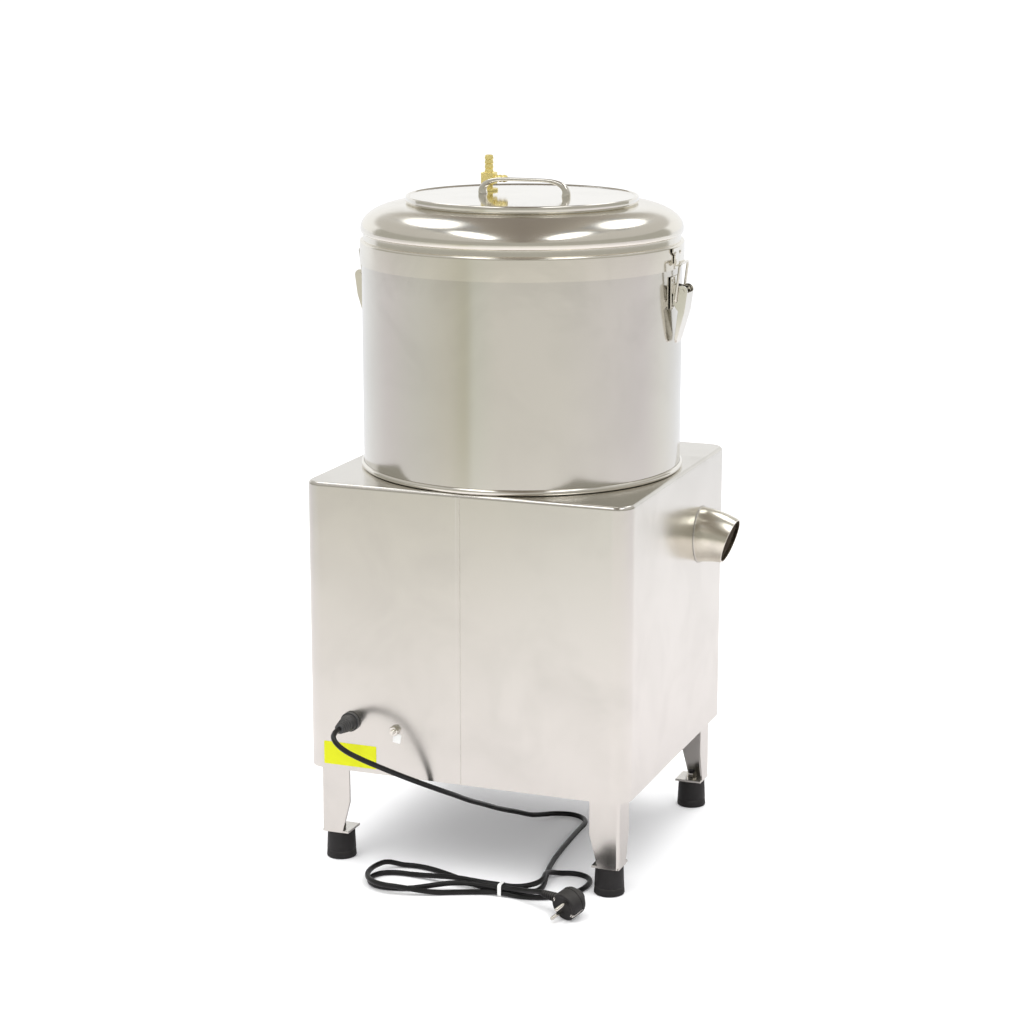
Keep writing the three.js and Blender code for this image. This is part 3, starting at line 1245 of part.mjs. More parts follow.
function addDrum() {
  piece("drum_wall", drumWall(), materials.satin);
  piece("drum_base_ring", drumBead(), materials.polished);
  piece("sump", sumpBasin(), materials.satin);
  piece("drain_spout", drainSpout(), materials.satin);
}

function addDrive() {
  const flangeLow = sumpFloor - seat - bearingHousing.flangeThick;
  const upper = housingTop - seal.height - bearing.height - 2 * seat;
  piece("abrasive_disc", abrasiveDisc(), materials.grit);
  piece("disc_nut", discNutSolid(), materials.polished);
  piece("drive_shaft", driveShaft(), materials.polished);
  piece("large_pulley", drivenPulley(), materials.cast);
  piece("bearing_housing", housingSolid(), materials.cast);
  piece("bearing_upper", bearingRing(upper, bearing.height), materials.polished);
  piece("bearing_lower", bearingRing(flangeLow, bearing.height), materials.polished);
  piece("shaft_seal", bearingRing(upper + bearing.height + seat, seal.height), materials.rubber);
  piece("v_belt", driveBelt(), materials.rubber);
  piece("motor_bracket", motorPlateSolid(), materials.galvanised);
  const motorGroup = groupAt(0, motorDistance, 0);
  piece("motor_body", motorBody(), materials.iron, motorGroup);
  piece("motor_shaft", motorShaft(), materials.polished, motorGroup);
  piece("motor_pulley", motorPulley(), materials.cast, motorGroup);
}

function addLid() {
  piece("lid_shell", lidShell(), materials.polished);
  piece("lid_gasket", lidGasket(), materials.rubber);
  piece("lid_handle", lidHandle(), materials.polished).position.set(handle.offset, -handle.back, 0);
  const inletGroup = groupAt(inlet.x, inlet.y, 0);
  piece("inlet_elbow", inletFitting(), materials.brass, inletGroup);
  piece("inlet_nut", inletNut(), materials.brass, inletGroup);
  piece("spray_nozzle", sprayNozzle(), materials.brass, inletGroup);
}

function addLatches() {
  [["left", 0], ["right", Math.PI]].forEach(([name, angle]) => {
    const group = groupAt(0, latch.y, 0);
    group.rotation.z = angle;
    piece(`latch_hook_${name}`, latchHook(), materials.polished, group);
    piece(`latch_base_${name}`, latchBase(), materials.polished, group);
    piece(`latch_pin_${name}`, latchPin(), materials.polished, group);
    piece(`latch_lever_${name}`, latchLever(), materials.polished, group);
    piece(`latch_bail_${name}`, latchBail(), materials.polished, group);
  });
}

function addDischarge() {
  piece("discharge_frame", dischargeFrame(), materials.cast);
  piece("door_gasket", doorGasket(), materials.rubber);
  piece("discharge_door", doorSolid(), materials.cast);
  piece("door_hinge_pin", hingePin(), materials.polished);
  piece("door_lever", leverSolid(), materials.cast);
}

function addControls() {
  const group = groupAt(panel.x, panelFront, panelZ);
  piece("control_box", controlBox(), materials.plastic, group);
  piece("start_button", buttonSolid(), materials.green, group).position.x = buttonPlaces[0];
  piece("stop_button", buttonSolid(), materials.red, group).position.x = buttonPlaces[1];
  piece("timer_knob", timerKnob(), materials.plastic, group).position.x = timer.offset;
}

function addSupply() {
  const back = cabinet.depth / 2;
  piece("cable_gland", glandSolid(), materials.plastic).position.set(gland.x, back, gland.z);
  piece("ground_terminal", earthTerminal(), materials.polished).position.set(terminal.x, back, terminal.z);
  const lead = vectors(leadRoute);
  const wound = hankPoints();
  const tail = vectors(tailRoute);
  piece("cord_lead", tube(smooth(lead), cord.radius, cord.sides, cord.steps), materials.rubber);
  const hankSteps = hank.steps * loops.length;
  piece("cord_hank", tube(smooth(wound), cord.radius, hank.sides, hankSteps), materials.rubber);
  piece("cord_tail", tube(smooth(tail), cord.radius, cord.sides, cord.tailSteps), materials.rubber);
  piece("cord_tie", tieStrap(), materials.white);
  const plugGroup = groupAt(plug.x, plug.y, plug.z);
  plugGroup.rotation.set(
    THREE.MathUtils.degToRad(-90 - plug.tilt), 0, THREE.MathUtils.degToRad(plug.turn), "ZXY");
  piece("plug_body", plugBody(), materials.rubber, plugGroup);
  console.log(`hank: least gap to itself ${leastGap(wound, wound).toFixed(2)} mm,`,
    `to the lead ${leastGap(wound, lead.slice(0, -2)).toFixed(2)} mm`);
  [lead, wound, tail].forEach((points) => {
    const run = smooth(points);
    console.log(`run of ${run.getLength().toFixed(0)} mm, tightest bend`,
      `${tightestBend(run.getPoints(1000)).toFixed(1)} mm`);
  });
}

const steps = [addCabinet, addDrum, addDrive, addLid, addLatches, addDischarge, addControls, addSupply];
steps.forEach((add) => add());

// The origin is the middle of the machine's own footprint, on the floor, without the cord.
const cordPieces = ["cord_lead", "cord_hank", "cord_tail", "cord_tie", "plug_body"];
machine.updateMatrixWorld(true);
const extent = new THREE.Box3();
machine.traverse((item) => {
  if (item.isMesh && !cordPieces.includes(item.name)) extent.expandByObject(item, true);
});
machine.position.set(-(extent.min.x + extent.max.x) / 2, -(extent.min.y + extent.max.y) / 2, 0);
console.log(`machine shifted by ${machine.position.x.toFixed(3)}, ${machine.position.y.toFixed(3)} mm`);

const potatoPeeler = new THREE.Group();
potatoPeeler.add(machine);
export default potatoPeeler;
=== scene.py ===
# %% [markdown]
# # An electric potato peeler, seen from behind
# The machine stands in commercial kitchens. A steel drum with a latched lid sits on a square sheet
# steel cabinet, and an abrasive turntable in the drum rubs the skins off while water rinses them away.
# The construction comes in as a fixed frame: every piece has its place, in metres, with +Z up and the
# back towards +Y. This notebook gives each surface its fine shape and finish, and never moves a part.

# %% Load the frame
import json
import math

import bmesh
import bpy
from mathutils import Matrix, Vector


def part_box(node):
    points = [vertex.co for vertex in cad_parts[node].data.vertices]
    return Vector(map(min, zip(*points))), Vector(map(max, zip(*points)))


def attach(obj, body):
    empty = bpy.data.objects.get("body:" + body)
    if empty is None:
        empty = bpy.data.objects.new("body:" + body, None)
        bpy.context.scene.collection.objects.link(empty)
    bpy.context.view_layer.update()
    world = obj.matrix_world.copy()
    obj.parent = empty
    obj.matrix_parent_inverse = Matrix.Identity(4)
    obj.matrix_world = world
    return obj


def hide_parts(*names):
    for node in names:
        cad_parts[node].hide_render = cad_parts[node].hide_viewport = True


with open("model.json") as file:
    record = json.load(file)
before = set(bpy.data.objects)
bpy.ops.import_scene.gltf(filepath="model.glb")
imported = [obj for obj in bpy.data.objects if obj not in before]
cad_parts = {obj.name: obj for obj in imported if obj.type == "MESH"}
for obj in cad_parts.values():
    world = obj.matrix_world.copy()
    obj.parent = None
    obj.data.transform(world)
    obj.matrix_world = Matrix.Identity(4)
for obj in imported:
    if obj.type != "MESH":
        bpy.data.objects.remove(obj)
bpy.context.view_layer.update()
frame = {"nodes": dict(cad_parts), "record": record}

cabinet_low, cabinet_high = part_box("cabinet_shell")
middle = Vector(((cabinet_low.x + cabinet_high.x) / 2, (cabinet_low.y + cabinet_high.y) / 2, 0))
print("frame of", len(frame["nodes"]), "nodes, cabinet centred at", tuple(round(v, 4) for v in middle))

# %% [markdown]
# ## Camera
# The photograph was taken from behind the machine, a little to one side and above, with a short
# telephoto lens. The camera here has the same direction, distance and lens, so that the two can be
# compared region by region. The picture is taken to be square.

# %% Set up the camera
picture_width = 1024          # pixels
focal_length = 2486.4         # pixels
sensor_width = 36.0           # millimetres, Blender's own unit for sensors
look_down = math.radians(13.03)
look_aside = math.radians(21.0)
camera_distance = 3.381
aim_height = 0.4546
aim_aside = 0.0134

back = Vector((-math.sin(look_aside) * math.cos(look_down), math.cos(look_aside) * math.cos(look_down),
               math.sin(look_down)))
left = Vector((math.cos(look_aside), math.sin(look_aside), 0))
camera = bpy.data.objects.new("camera", bpy.data.cameras.new("camera"))
camera.data.sensor_width = sensor_width
camera.data.lens = focal_length * sensor_width / picture_width
camera.location = middle + Vector((0, 0, aim_height)) + left * aim_aside + back * camera_distance
camera.rotation_mode = "QUATERNION"
camera.rotation_quaternion = (-back).to_track_quat("-Z", "Y")
bpy.context.scene.collection.objects.link(camera)
bpy.context.scene.camera = camera
print("camera", round(camera.data.lens, 1), "mm lens at", tuple(round(v, 3) for v in camera.location))

# %% [markdown]
# ## The supply cord
# A rubber cord 7 mm thick leaves the gland in the back, sags to the floor under the machine, comes back
# and ends in a hank: three unlike loops through one tie. It is one length of one flexible thing, so it is
# made as one smooth curve. The free stretches follow listed points, and the loops follow a formula. A
# simulated rope would fall differently each time, and its loops would not be the ones seen here.

# %% Points of the cord
cord_radius = 0.0035
lead_route = [
    (0.160, 0.2543, 0.2035), (0.160, 0.264, 0.2032), (0.1565, 0.279, 0.201), (0.1465, 0.2905, 0.1965),
    (0.1315, 0.295, 0.1895), (0.113, 0.2905, 0.180), (0.0935, 0.276, 0.167), (0.0705, 0.253, 0.1495),
    (0.0505, 0.2265, 0.132), (0.038, 0.1965, 0.115), (0.0315, 0.163, 0.098), (0.0275, 0.127, 0.080),
    (0.0235, 0.085, 0.061), (0.017, 0.043, 0.0415), (0.006, 0.003, 0.0245), (-0.006, -0.0244, 0.0125),
    (-0.0167, -0.0492, 0.0062), (-0.0258, -0.0613, 0.0043), (-0.039, -0.068, 0.0036),
    (-0.0539, -0.0683, 0.0036), (-0.0673, -0.062, 0.0036), (-0.0767, -0.0505, 0.0036),
    (-0.080, -0.036, 0.0036), (-0.0802, -0.014, 0.0036), (-0.081, 0.010, 0.0036), (-0.0827, 0.044, 0.0036),
    (-0.0855, 0.088, 0.0036), (-0.0905, 0.130, 0.0036), (-0.098, 0.166, 0.0036), (-0.105, 0.193, 0.0036),
    (-0.1074, 0.2095, 0.0037), (-0.1053, 0.2208, 0.0039), (-0.0989, 0.2304, 0.0043),
    (-0.0893, 0.2368, 0.0046), (-0.0795, 0.2391, 0.0047), (-0.0733, 0.2391, 0.0047),
]
tail_route = [
    (-0.0733, 0.2469, 0.0125), (-0.0805, 0.247, 0.0125), (-0.092, 0.2495, 0.0135), (-0.105, 0.256, 0.0165),
    (-0.118, 0.2624, 0.020), (-0.1246, 0.2651, 0.0213), (-0.1311, 0.2676, 0.0215),
]
hank = {"x": -0.064, "y": 0.243, "pitch": 0.0039, "straight": 0.009, "steps": 24}
levels = {"low": 0.0047, "high": 0.0125, "floor": 0.0036, "over": 0.0114}
loops = [
    {"start": 1, "reach": 0.176, "spread": 0.046, "heading": 0, "turn": 0, "turn_reach": 0.176, "fullness": 2,
     "level_shares": [(0, "low"), (0.1, "floor"), (0.36, "floor"), (0.44, "over"), (0.68, "over"),
                      (0.8, "floor"), (0.9, "floor"), (1, "low")]},
    {"start": -1, "reach": 0.131, "spread": 0.027, "heading": 180, "turn": 90, "turn_reach": 0.092,
     "fullness": 1.8,
     "level_shares": [(0, "low"), (0.1, "floor"), (0.55, "floor"), (0.7, "high"), (1, "high")]},
    {"start": 1, "reach": 0.172, "spread": 0.025, "heading": 0, "turn": 10, "turn_reach": 0.172,
     "fullness": 1.4,
     "level_shares": [(0, "high"), (0.12, "high"), (0.3, "floor"), (0.72, "floor"), (0.88, "high"),
                      (1, "high")]},
]
print(len(lead_route), "points of lead,", len(loops), "loops,", len(tail_route), "points of tail")


# %% Shape of a loop
def loop_level(shares, share):
    """The level of a loop's cord at a share of the way round, eased between its listed levels."""
    index = next((i for i, (at, _) in enumerate(shares) if at >= share), 1)
    (start, low), (end, high) = shares[max(1, index) - 1], shares[max(1, index)]
    t = min(1, max(0, (share - start) / (end - start)))
    t = t * t * (3 - 2 * t)
    return levels[low] * (1 - t) + levels[high] * t


def loop_points(loop):
    """One teardrop loop: out from the tie along a bending centre line and back beside it."""
    first = math.radians(loop["heading"])
    count = hank["steps"] * 2
    bow = lambda share: math.sin(2 * math.pi * share) * math.sin(math.pi * share) ** 2
    points = []
    for i in range(count + 1):
        share = i / count
        out = loop["reach"] * max(0, math.sin(math.pi * share)) ** loop["fullness"]
        side = -loop["spread"] * bow(share) / bow(1 / 3) - hank["pitch"] * math.cos(math.pi * share)
        turning = min(out, loop["turn_reach"])
        swing = math.radians(loop["turn"]) * turning / loop["turn_reach"] / 2
        chord = turning if swing == 0 else turning * math.sin(swing) / swing
        angle = first + 2 * swing
        beyond = out - turning
        points.append((
            hank["x"] + loop["start"] * hank["straight"] + chord * math.cos(first + swing)
            + beyond * math.cos(angle) - side * math.sin(angle),
            hank["y"] + chord * math.sin(first + swing) + beyond * math.sin(angle) + side * math.cos(angle),
            loop_level(loop["level_shares"], share)))
    return points


# %% Join the route
def smooth_run(points, steps):
    """A centripetal Catmull-Rom curve through the points, as a dense list of points."""
    knots = [Vector(p) for p in points]
    knots = [knots[0] * 2 - knots[1], *knots, knots[-1] * 2 - knots[-2]]
    run = [knots[1]]
    for p0, p1, p2, p3 in zip(knots, knots[1:], knots[2:], knots[3:]):
        d0, d1, d2 = (math.sqrt((b - a).length) for a, b in ((p0, p1), (p1, p2), (p2, p3)))
        m1 = ((p1 - p0) / d0 - (p2 - p0) / (d0 + d1) + (p2 - p1) / d1) * d1
        m2 = ((p2 - p1) / d1 - (p3 - p1) / (d1 + d2) + (p3 - p2) / d2) * d1
        for i in range(1, steps + 1):
            t = i / steps
            run.append(p1 * (2 * t**3 - 3 * t**2 + 1) + m1 * (t**3 - 2 * t**2 + t)
                       + p2 * (3 * t**2 - 2 * t**3) + m2 * (t**3 - t**2))
    return run


hank_route = [(hank["x"] - hank["straight"], hank["y"] - hank["pitch"], levels["low"])]
hank_route += [point for loop in loops for point in loop_points(loop)]
hank_route += [(hank["x"] - hank["straight"], hank["y"] + hank["pitch"], levels["high"])]
cord_run = [middle + p for route in (lead_route, hank_route, tail_route) for p in smooth_run(route, 6)]


# %% Lay the cord
def line_of(name, points, radius, sides=8):
    """A round line through points: one open curve with a bevel."""
    curve = bpy.data.curves.new(name, "CURVE")
    curve.dimensions = "3D"
    curve.bevel_depth = radius
    curve.bevel_resolution = sides
    curve.use_fill_caps = True
    spline = curve.splines.new("POLY")
    spline.points.add(len(points) - 1)
    for point, place in zip(spline.points, points):
        point.co = (*place, 1)
    spline.use_smooth = True
    piece = bpy.data.objects.new(name, curve)
    bpy.context.scene.collection.objects.link(piece)
    return piece


supply_cord = line_of("supply_cord", cord_run, cord_radius)
print("cord", 2 * cord_radius, "m thick")

# %% [markdown]
# ## Node groups
# Sheet steel, castings, rubber and paint share a few effects: a fine grain, marks left by hands, wear on
# edges and a little dust. Each effect is one group with named inputs, placed in every material that needs
# it. The groups put out only masks and heights. The shader itself stays in the material.


# %% Helpers for nodes
def add_node(tree, kind, inputs=None, **settings):
    """A node with its settings, and with its inputs set to a value or joined to a socket."""
    made = tree.nodes.new(kind)
    for key, value in settings.items():
        setattr(made, key, value)
    for socket, value in (inputs or {}).items():
        if isinstance(value, bpy.types.NodeSocket):
            tree.links.new(value, made.inputs[socket])
        else:
            made.inputs[socket].default_value = value
    return made


def start_group(name, inputs, outputs):
    """A shader node group with named sockets: its tree, its input node and its output node."""
    tree = bpy.data.node_groups.new(name, "ShaderNodeTree")
    for label, kind, value in inputs:
        tree.interface.new_socket(label, in_out="INPUT", socket_type=kind).default_value = value
    for label in outputs:
        tree.interface.new_socket(label, in_out="OUTPUT", socket_type="NodeSocketFloat")
    return tree, tree.nodes.new("NodeGroupInput").outputs, tree.nodes.new("NodeGroupOutput")


def place_on_piece(tree):
    """The place of each point on its own piece, as a socket."""
    return add_node(tree, "ShaderNodeTexCoord").outputs["Object"]


def math_step(tree, operation, *values, **settings):
    """One step of arithmetic on values or sockets, as a socket."""
    step = add_node(tree, "ShaderNodeMath", dict(enumerate(values)), operation=operation, **settings)
    return step.outputs[0]


def mixed(tree, mask, first, second):
    """A colour between two colours, by a mask, as a socket."""
    return add_node(tree, "ShaderNodeMix", {0: mask, 6: first, 7: second}, data_type="RGBA").outputs[2]


def noise_on(tree, vector, scale, detail, **sockets):
    """Soft noise of a scale and a number of octaves, as a socket."""
    inputs = {"Vector": vector, "Scale": scale, "Detail": detail, **sockets}
    return add_node(tree, "ShaderNodeTexNoise", inputs).outputs["Fac"]


def ranged(tree, value, low, high, to_low, to_high, **settings):
    """A value taken from one range to another, as a socket."""
    inputs = {"Value": value, "From Min": low, "From Max": high, "To Min": to_low, "To Max": to_high}
    return add_node(tree, "ShaderNodeMapRange", inputs, **settings).outputs["Result"]


# %% Grain of rolled sheet, and of turned pieces
FLOAT, VECTOR = "NodeSocketFloat", "NodeSocketVector"
sheet_grain, given, result = start_group("Sheet grain", [("Stretch", VECTOR, (8, 8, 1400))], ["Height"])
scaled = add_node(sheet_grain, "ShaderNodeVectorMath", {0: place_on_piece(sheet_grain), 1: given["Stretch"]},
                  operation="MULTIPLY")
sheet_grain.links.new(noise_on(sheet_grain, scaled.outputs[0], 1.0, 3.0), result.inputs["Height"])

turned_grain, given, result = start_group(
    "Turned grain", [("Axis", VECTOR, tuple(middle)), ("Lines", FLOAT, 1600.0)], ["Height"])
off_axis = add_node(turned_grain, "ShaderNodeVectorMath", {0: place_on_piece(turned_grain), 1: given["Axis"]},
                    operation="SUBTRACT")
parts = add_node(turned_grain, "ShaderNodeSeparateXYZ", {0: off_axis.outputs[0]}).outputs
flat = add_node(turned_grain, "ShaderNodeCombineXYZ", {"X": parts["X"], "Y": parts["Y"]})
radius = add_node(turned_grain, "ShaderNodeVectorMath", {0: flat.outputs[0]}, operation="LENGTH")
angle = math_step(turned_grain, "ARCTAN2", parts["Y"], parts["X"])
lines_out = math_step(turned_grain, "MULTIPLY", radius.outputs["Value"], given["Lines"])
lines_up = math_step(turned_grain, "MULTIPLY", parts["Z"], given["Lines"])
wound = add_node(turned_grain, "ShaderNodeCombineXYZ", {"X": angle, "Y": lines_out, "Z": lines_up})
turned_grain.links.new(noise_on(turned_grain, wound.outputs[0], 1.0, 3.0), result.inputs["Height"])
print("two grains")

# %% Marks, wear and dust
hand_marks, given, result = start_group(
    "Hand marks", [("Scale", FLOAT, 9.0), ("Amount", FLOAT, 1.0)], ["Mask"])
cloud = noise_on(hand_marks, place_on_piece(hand_marks), given["Scale"], 5.0, Roughness=0.62, Distortion=0.6)
spread = ranged(hand_marks, cloud, 0.42, 0.72, 0.0, given["Amount"])
hand_marks.links.new(spread, result.inputs["Mask"])

edge_wear, given, result = start_group(
    "Edge wear", [("Scale", FLOAT, 240.0), ("Amount", FLOAT, 1.0)], ["Mask"])
pointed = add_node(edge_wear, "ShaderNodeNewGeometry").outputs["Pointiness"]
ridge = ranged(edge_wear, pointed, 0.51, 0.6, 0.0, given["Amount"])
speckle = noise_on(edge_wear, place_on_piece(edge_wear), given["Scale"], 3.0)
edge_wear.links.new(math_step(edge_wear, "MULTIPLY", ridge, speckle), result.inputs["Mask"])

settled_dust, given, result = start_group(
    "Settled dust", [("Scale", FLOAT, 30.0), ("Amount", FLOAT, 0.4)], ["Mask"])
outward = add_node(settled_dust, "ShaderNodeNewGeometry").outputs["Normal"]
upward = add_node(settled_dust, "ShaderNodeSeparateXYZ", {0: outward}).outputs["Z"]
lying = ranged(settled_dust, upward, 0.2, 1.0, 0.0, given["Amount"])
cloud = noise_on(settled_dust, place_on_piece(settled_dust), given["Scale"], 6.0)
settled_dust.links.new(math_step(settled_dust, "MULTIPLY", lying, cloud), result.inputs["Mask"])
print("node groups:", ", ".join(group.name for group in bpy.data.node_groups))

# %% [markdown]
# ## Finishes
# Nearly everything outside is stainless steel: satin sheet on the cabinet and legs, a brighter drum, and a
# polished lid. Steel takes its look from what it mirrors, so each finish is a metal with one colour, and
# the differences lie in the roughness, the direction of the grain and how far the sheet wavers.

# %% A function for every finish
finishes = {}
dust_colour = (0.42, 0.4, 0.37, 1)


def add_group(tree, kind, inputs):
    """Places a node group in a tree, with its own values, and gives its one output."""
    made = tree.nodes.new("ShaderNodeGroup")
    made.node_tree = kind
    for socket, value in inputs.items():
        made.inputs[socket].default_value = value
    return made.outputs[0]


def add_finish(name, colour, roughness, metallic=0.0, grain=None, grain_inputs=None, grain_depth=0.0,
               tone=0.94, marks=0.06, marks_scale=9.0, waver=0.0, waver_scale=5.0, wear=None, dust=None,
               **sockets):
    """A Principled material with grain, hand marks, a slow waver of the sheet, worn edges and dust."""
    material = bpy.data.materials.new(name)
    material.use_nodes = True
    tree = material.node_tree
    shader = tree.nodes["Principled BSDF"]
    shader.inputs["Metallic"].default_value = metallic
    for socket, value in sockets.items():
        shader.inputs[socket.replace("_", " ")].default_value = value
    smudge = add_group(tree, hand_marks, {"Scale": marks_scale})
    darker = tuple(channel * tone for channel in colour)
    tint = mixed(tree, smudge, (*colour, 1), (*darker, 1))
    rough = math_step(tree, "MULTIPLY_ADD", smudge, marks, roughness)
    if wear:
        tint = mixed(tree, add_group(tree, edge_wear, {}), tint, (*wear, 1))
    if dust:
        lying = add_group(tree, settled_dust, {"Amount": dust})
        tint = mixed(tree, lying, tint, dust_colour)
        rough = math_step(tree, "MULTIPLY_ADD", lying, 0.5, rough)
    tree.links.new(tint, shader.inputs["Base Color"])
    tree.links.new(rough, shader.inputs["Roughness"])
    bumps = []
    if grain:
        bumps.append((add_group(tree, grain, grain_inputs), grain_depth))
    if waver:
        bumps.append((noise_on(tree, place_on_piece(tree), waver_scale, 1.0), waver))
    normal = {}
    for height, distance in bumps:
        bump = add_node(tree, "ShaderNodeBump", {"Height": height, "Distance": distance, **normal})
        normal = {"Normal": bump.outputs[0]}
    if normal:
        tree.links.new(normal["Normal"], shader.inputs["Normal"])
    finishes[name] = material


# %% The steels and other metals
add_finish("satin_steel", (0.72, 0.7, 0.655), 0.2, 1.0, sheet_grain, {"Stretch": (6, 6, 1500)}, 0.000012,
           marks=0.07, waver=0.0006, waver_scale=3.5)
add_finish("spun_steel", (0.83, 0.8, 0.725), 0.16, 1.0, turned_grain, {"Lines": 700.0}, 0.000007,
           marks=0.06, waver=0.0002, waver_scale=9.0)
add_finish("drum_steel", (0.7, 0.68, 0.63), 0.13, 1.0, turned_grain, {"Lines": 1100.0}, 0.000008,
           marks=0.05, waver=0.0004, waver_scale=3.0)
add_finish("polished_steel", (0.83, 0.805, 0.74), 0.08, 1.0, turned_grain, {"Lines": 900.0}, 0.000006,
           marks=0.05)
add_finish("tinted_steel", (0.79, 0.755, 0.655), 0.19, 1.0, turned_grain, {"Lines": 900.0}, 0.000006,
           tone=0.86, marks=0.08, marks_scale=40.0)
# Dark brown for the lining of the spout's bore: painted shade inside the tube
add_finish("painted_bore_shade", (0.13, 0.105, 0.08), 0.5, 0.0, sheet_grain, {"Stretch": (90, 300, 300)}, 0.0001,
           tone=0.6, marks=0.2, marks_scale=40.0)
add_finish("galvanised_steel", (0.5, 0.52, 0.53), 0.42, 1.0, sheet_grain, {"Stretch": (60, 60, 60)}, 0.0001,
           tone=0.72, marks=0.15, marks_scale=60.0)
add_finish("cast_aluminium", (0.62, 0.63, 0.64), 0.38, 1.0, sheet_grain, {"Stretch": (700, 700, 700)},
           0.00012, tone=0.82, marks=0.12, wear=(0.8, 0.8, 0.8))
add_finish("motor_iron", (0.09, 0.1, 0.115), 0.42, 0.0, sheet_grain, {"Stretch": (500, 500, 500)}, 0.00015,
           tone=0.8, marks=0.1, wear=(0.3, 0.3, 0.3), dust=0.25)
add_finish("brass", (0.9, 0.76, 0.3), 0.24, 0.7, turned_grain, {"Lines": 2500.0}, 0.00001,
           tone=0.85, marks=0.12, marks_scale=60.0)
print("metals:", ", ".join(finishes))

# %% Rubber, plastic and grit
add_finish("black_rubber", (0.012, 0.011, 0.011), 0.5, 0.0, sheet_grain, {"Stretch": (900, 900, 900)},
           0.00006, tone=1.6, marks=0.15, marks_scale=50.0, dust=0.2, Specular_IOR_Level=0.32)
add_finish("cord_rubber", (0.006, 0.006, 0.006), 0.3, 0.0, sheet_grain, {"Stretch": (1200, 1200, 1200)},
           0.00003, tone=1.8, marks=0.16, marks_scale=70.0, Specular_IOR_Level=0.36)
add_finish("black_plastic", (0.02, 0.02, 0.021), 0.36, 0.0, sheet_grain, {"Stretch": (1800, 1800, 1800)},
           0.00005, tone=1.5, marks=0.12, marks_scale=40.0, wear=(0.1, 0.1, 0.1), dust=0.2)
add_finish("green_plastic", (0.01, 0.27, 0.05), 0.25, marks=0.12, marks_scale=80.0)
add_finish("red_plastic", (0.5, 0.012, 0.01), 0.25, marks=0.12, marks_scale=80.0)
add_finish("white_plastic", (0.82, 0.82, 0.8), 0.4, marks=0.1, marks_scale=80.0)
add_finish("yellow_plate", (0.63, 0.655, 0.006), 0.45, tone=0.96, marks=0.1, marks_scale=60.0,
           Specular_IOR_Level=0.25)
add_finish("grit", (0.13, 0.118, 0.104), 0.75, 0.0, sheet_grain, {"Stretch": (650, 650, 650)}, 0.0016,
           tone=0.5, marks=0.15, marks_scale=35.0, wear=(0.25, 0.24, 0.22))
supply_cord.data.materials.append(finishes["cord_rubber"])
print("all finishes:", ", ".join(sorted(finishes)))

# %% [markdown]
# ## Meshes
# The frame's solids are faceted. Where a facet would show on bright steel, the piece is made again here,
# with fine rounds, on the same sizes. Where the solid is right, it stays and gets crisp small bevels from
# modifiers. Turned pieces come from a profile, bent ones from a run of sections, and cuts from booleans.


# %% Meshes from points
def mesh_of(name, points, faces, finish, sharp=35.0):
    """A smooth-shaded mesh whose edges over an angle stay sharp."""
    mesh = bpy.data.meshes.new(name)
    mesh.from_pydata([tuple(p) for p in points], [], faces)
    work = bmesh.new()
    work.from_mesh(mesh)
    bmesh.ops.remove_doubles(work, verts=work.verts, dist=1e-6)
    bmesh.ops.recalc_face_normals(work, faces=work.faces)
    work.to_mesh(mesh)
    work.free()
    shade(mesh, sharp)
    piece = bpy.data.objects.new(name, mesh)
    bpy.context.scene.collection.objects.link(piece)
    piece.data.materials.append(finishes[finish])
    return piece


def shade(mesh, sharp):
    """Smooth shading with sharp edges over an angle in degrees."""
    mesh.polygons.foreach_set("use_smooth", [True] * len(mesh.polygons))
    mesh.set_sharp_from_angle(angle=math.radians(sharp))


# %% Outlines, turned and skinned shapes
def arc(cx, cy, rx, ry, start, end, steps):
    """Points on an arc of an ellipse, in degrees, with both ends."""
    angles = [math.radians(start + (end - start) * i / steps) for i in range(steps + 1)]
    return [(cx + rx * math.cos(a), cy + ry * math.sin(a)) for a in angles]


def round_rectangle(half_x, half_y, radius, steps):
    """Points of a rectangle with round corners, whose corner centres lie at half_x and half_y."""
    corners = ((1, 1), (-1, 1), (-1, -1), (1, -1))
    return [point for k, (x, y) in enumerate(corners)
            for point in arc(x * half_x, y * half_y, radius, radius, 90 * k, 90 * k + 90, steps)]


def turned(name, profile, finish, turn=Matrix(), steps=160, sharp=35.0):
    """A closed (radius, height) profile turned round Z, then laid in place by a matrix."""
    count = len(profile)
    points = [turn @ Vector((r * math.cos(a), r * math.sin(a), z))
              for a in (2 * math.pi * i / steps for i in range(steps)) for r, z in profile]
    faces = [(i * count + j, ((i + 1) % steps) * count + j, ((i + 1) % steps) * count + (j + 1) % count,
              i * count + (j + 1) % count) for i in range(steps) for j in range(count)]
    return mesh_of(name, points, faces, finish, sharp)


def skinned(name, rings, finish, closed=False, sharp=35.0):
    """A skin over rings that have the same count: its ends are capped, or joined if it is closed."""
    count = len(rings[0])
    last = len(rings) if closed else len(rings) - 1
    faces = [(k * count + i, k * count + (i + 1) % count, (k + 1) % len(rings) * count + (i + 1) % count,
              (k + 1) % len(rings) * count + i) for k in range(last) for i in range(count)]
    if not closed:
        faces += [tuple(range(count)), tuple(range((len(rings) - 1) * count, len(rings) * count))]
    return mesh_of(name, [p for ring in rings for p in ring], faces, finish, sharp)


# %% Cuts
def settle(piece):
    """Applies a piece's modifiers to its mesh."""
    view = bpy.context.evaluated_depsgraph_get()
    made = bpy.data.meshes.new_from_object(piece.evaluated_get(view))
    piece.modifiers.clear()
    piece.data = made
    return piece


def carved(piece, cutters, sharp=35.0):
    """Cuts pieces out of a piece and deletes them."""
    for cutter in cutters:
        step = piece.modifiers.new("cut", "BOOLEAN")
        step.object = cutter
        step.solver = "EXACT"
    settle(piece)
    for cutter in cutters:
        bpy.data.objects.remove(cutter)
    shade(piece.data, sharp)
    return piece


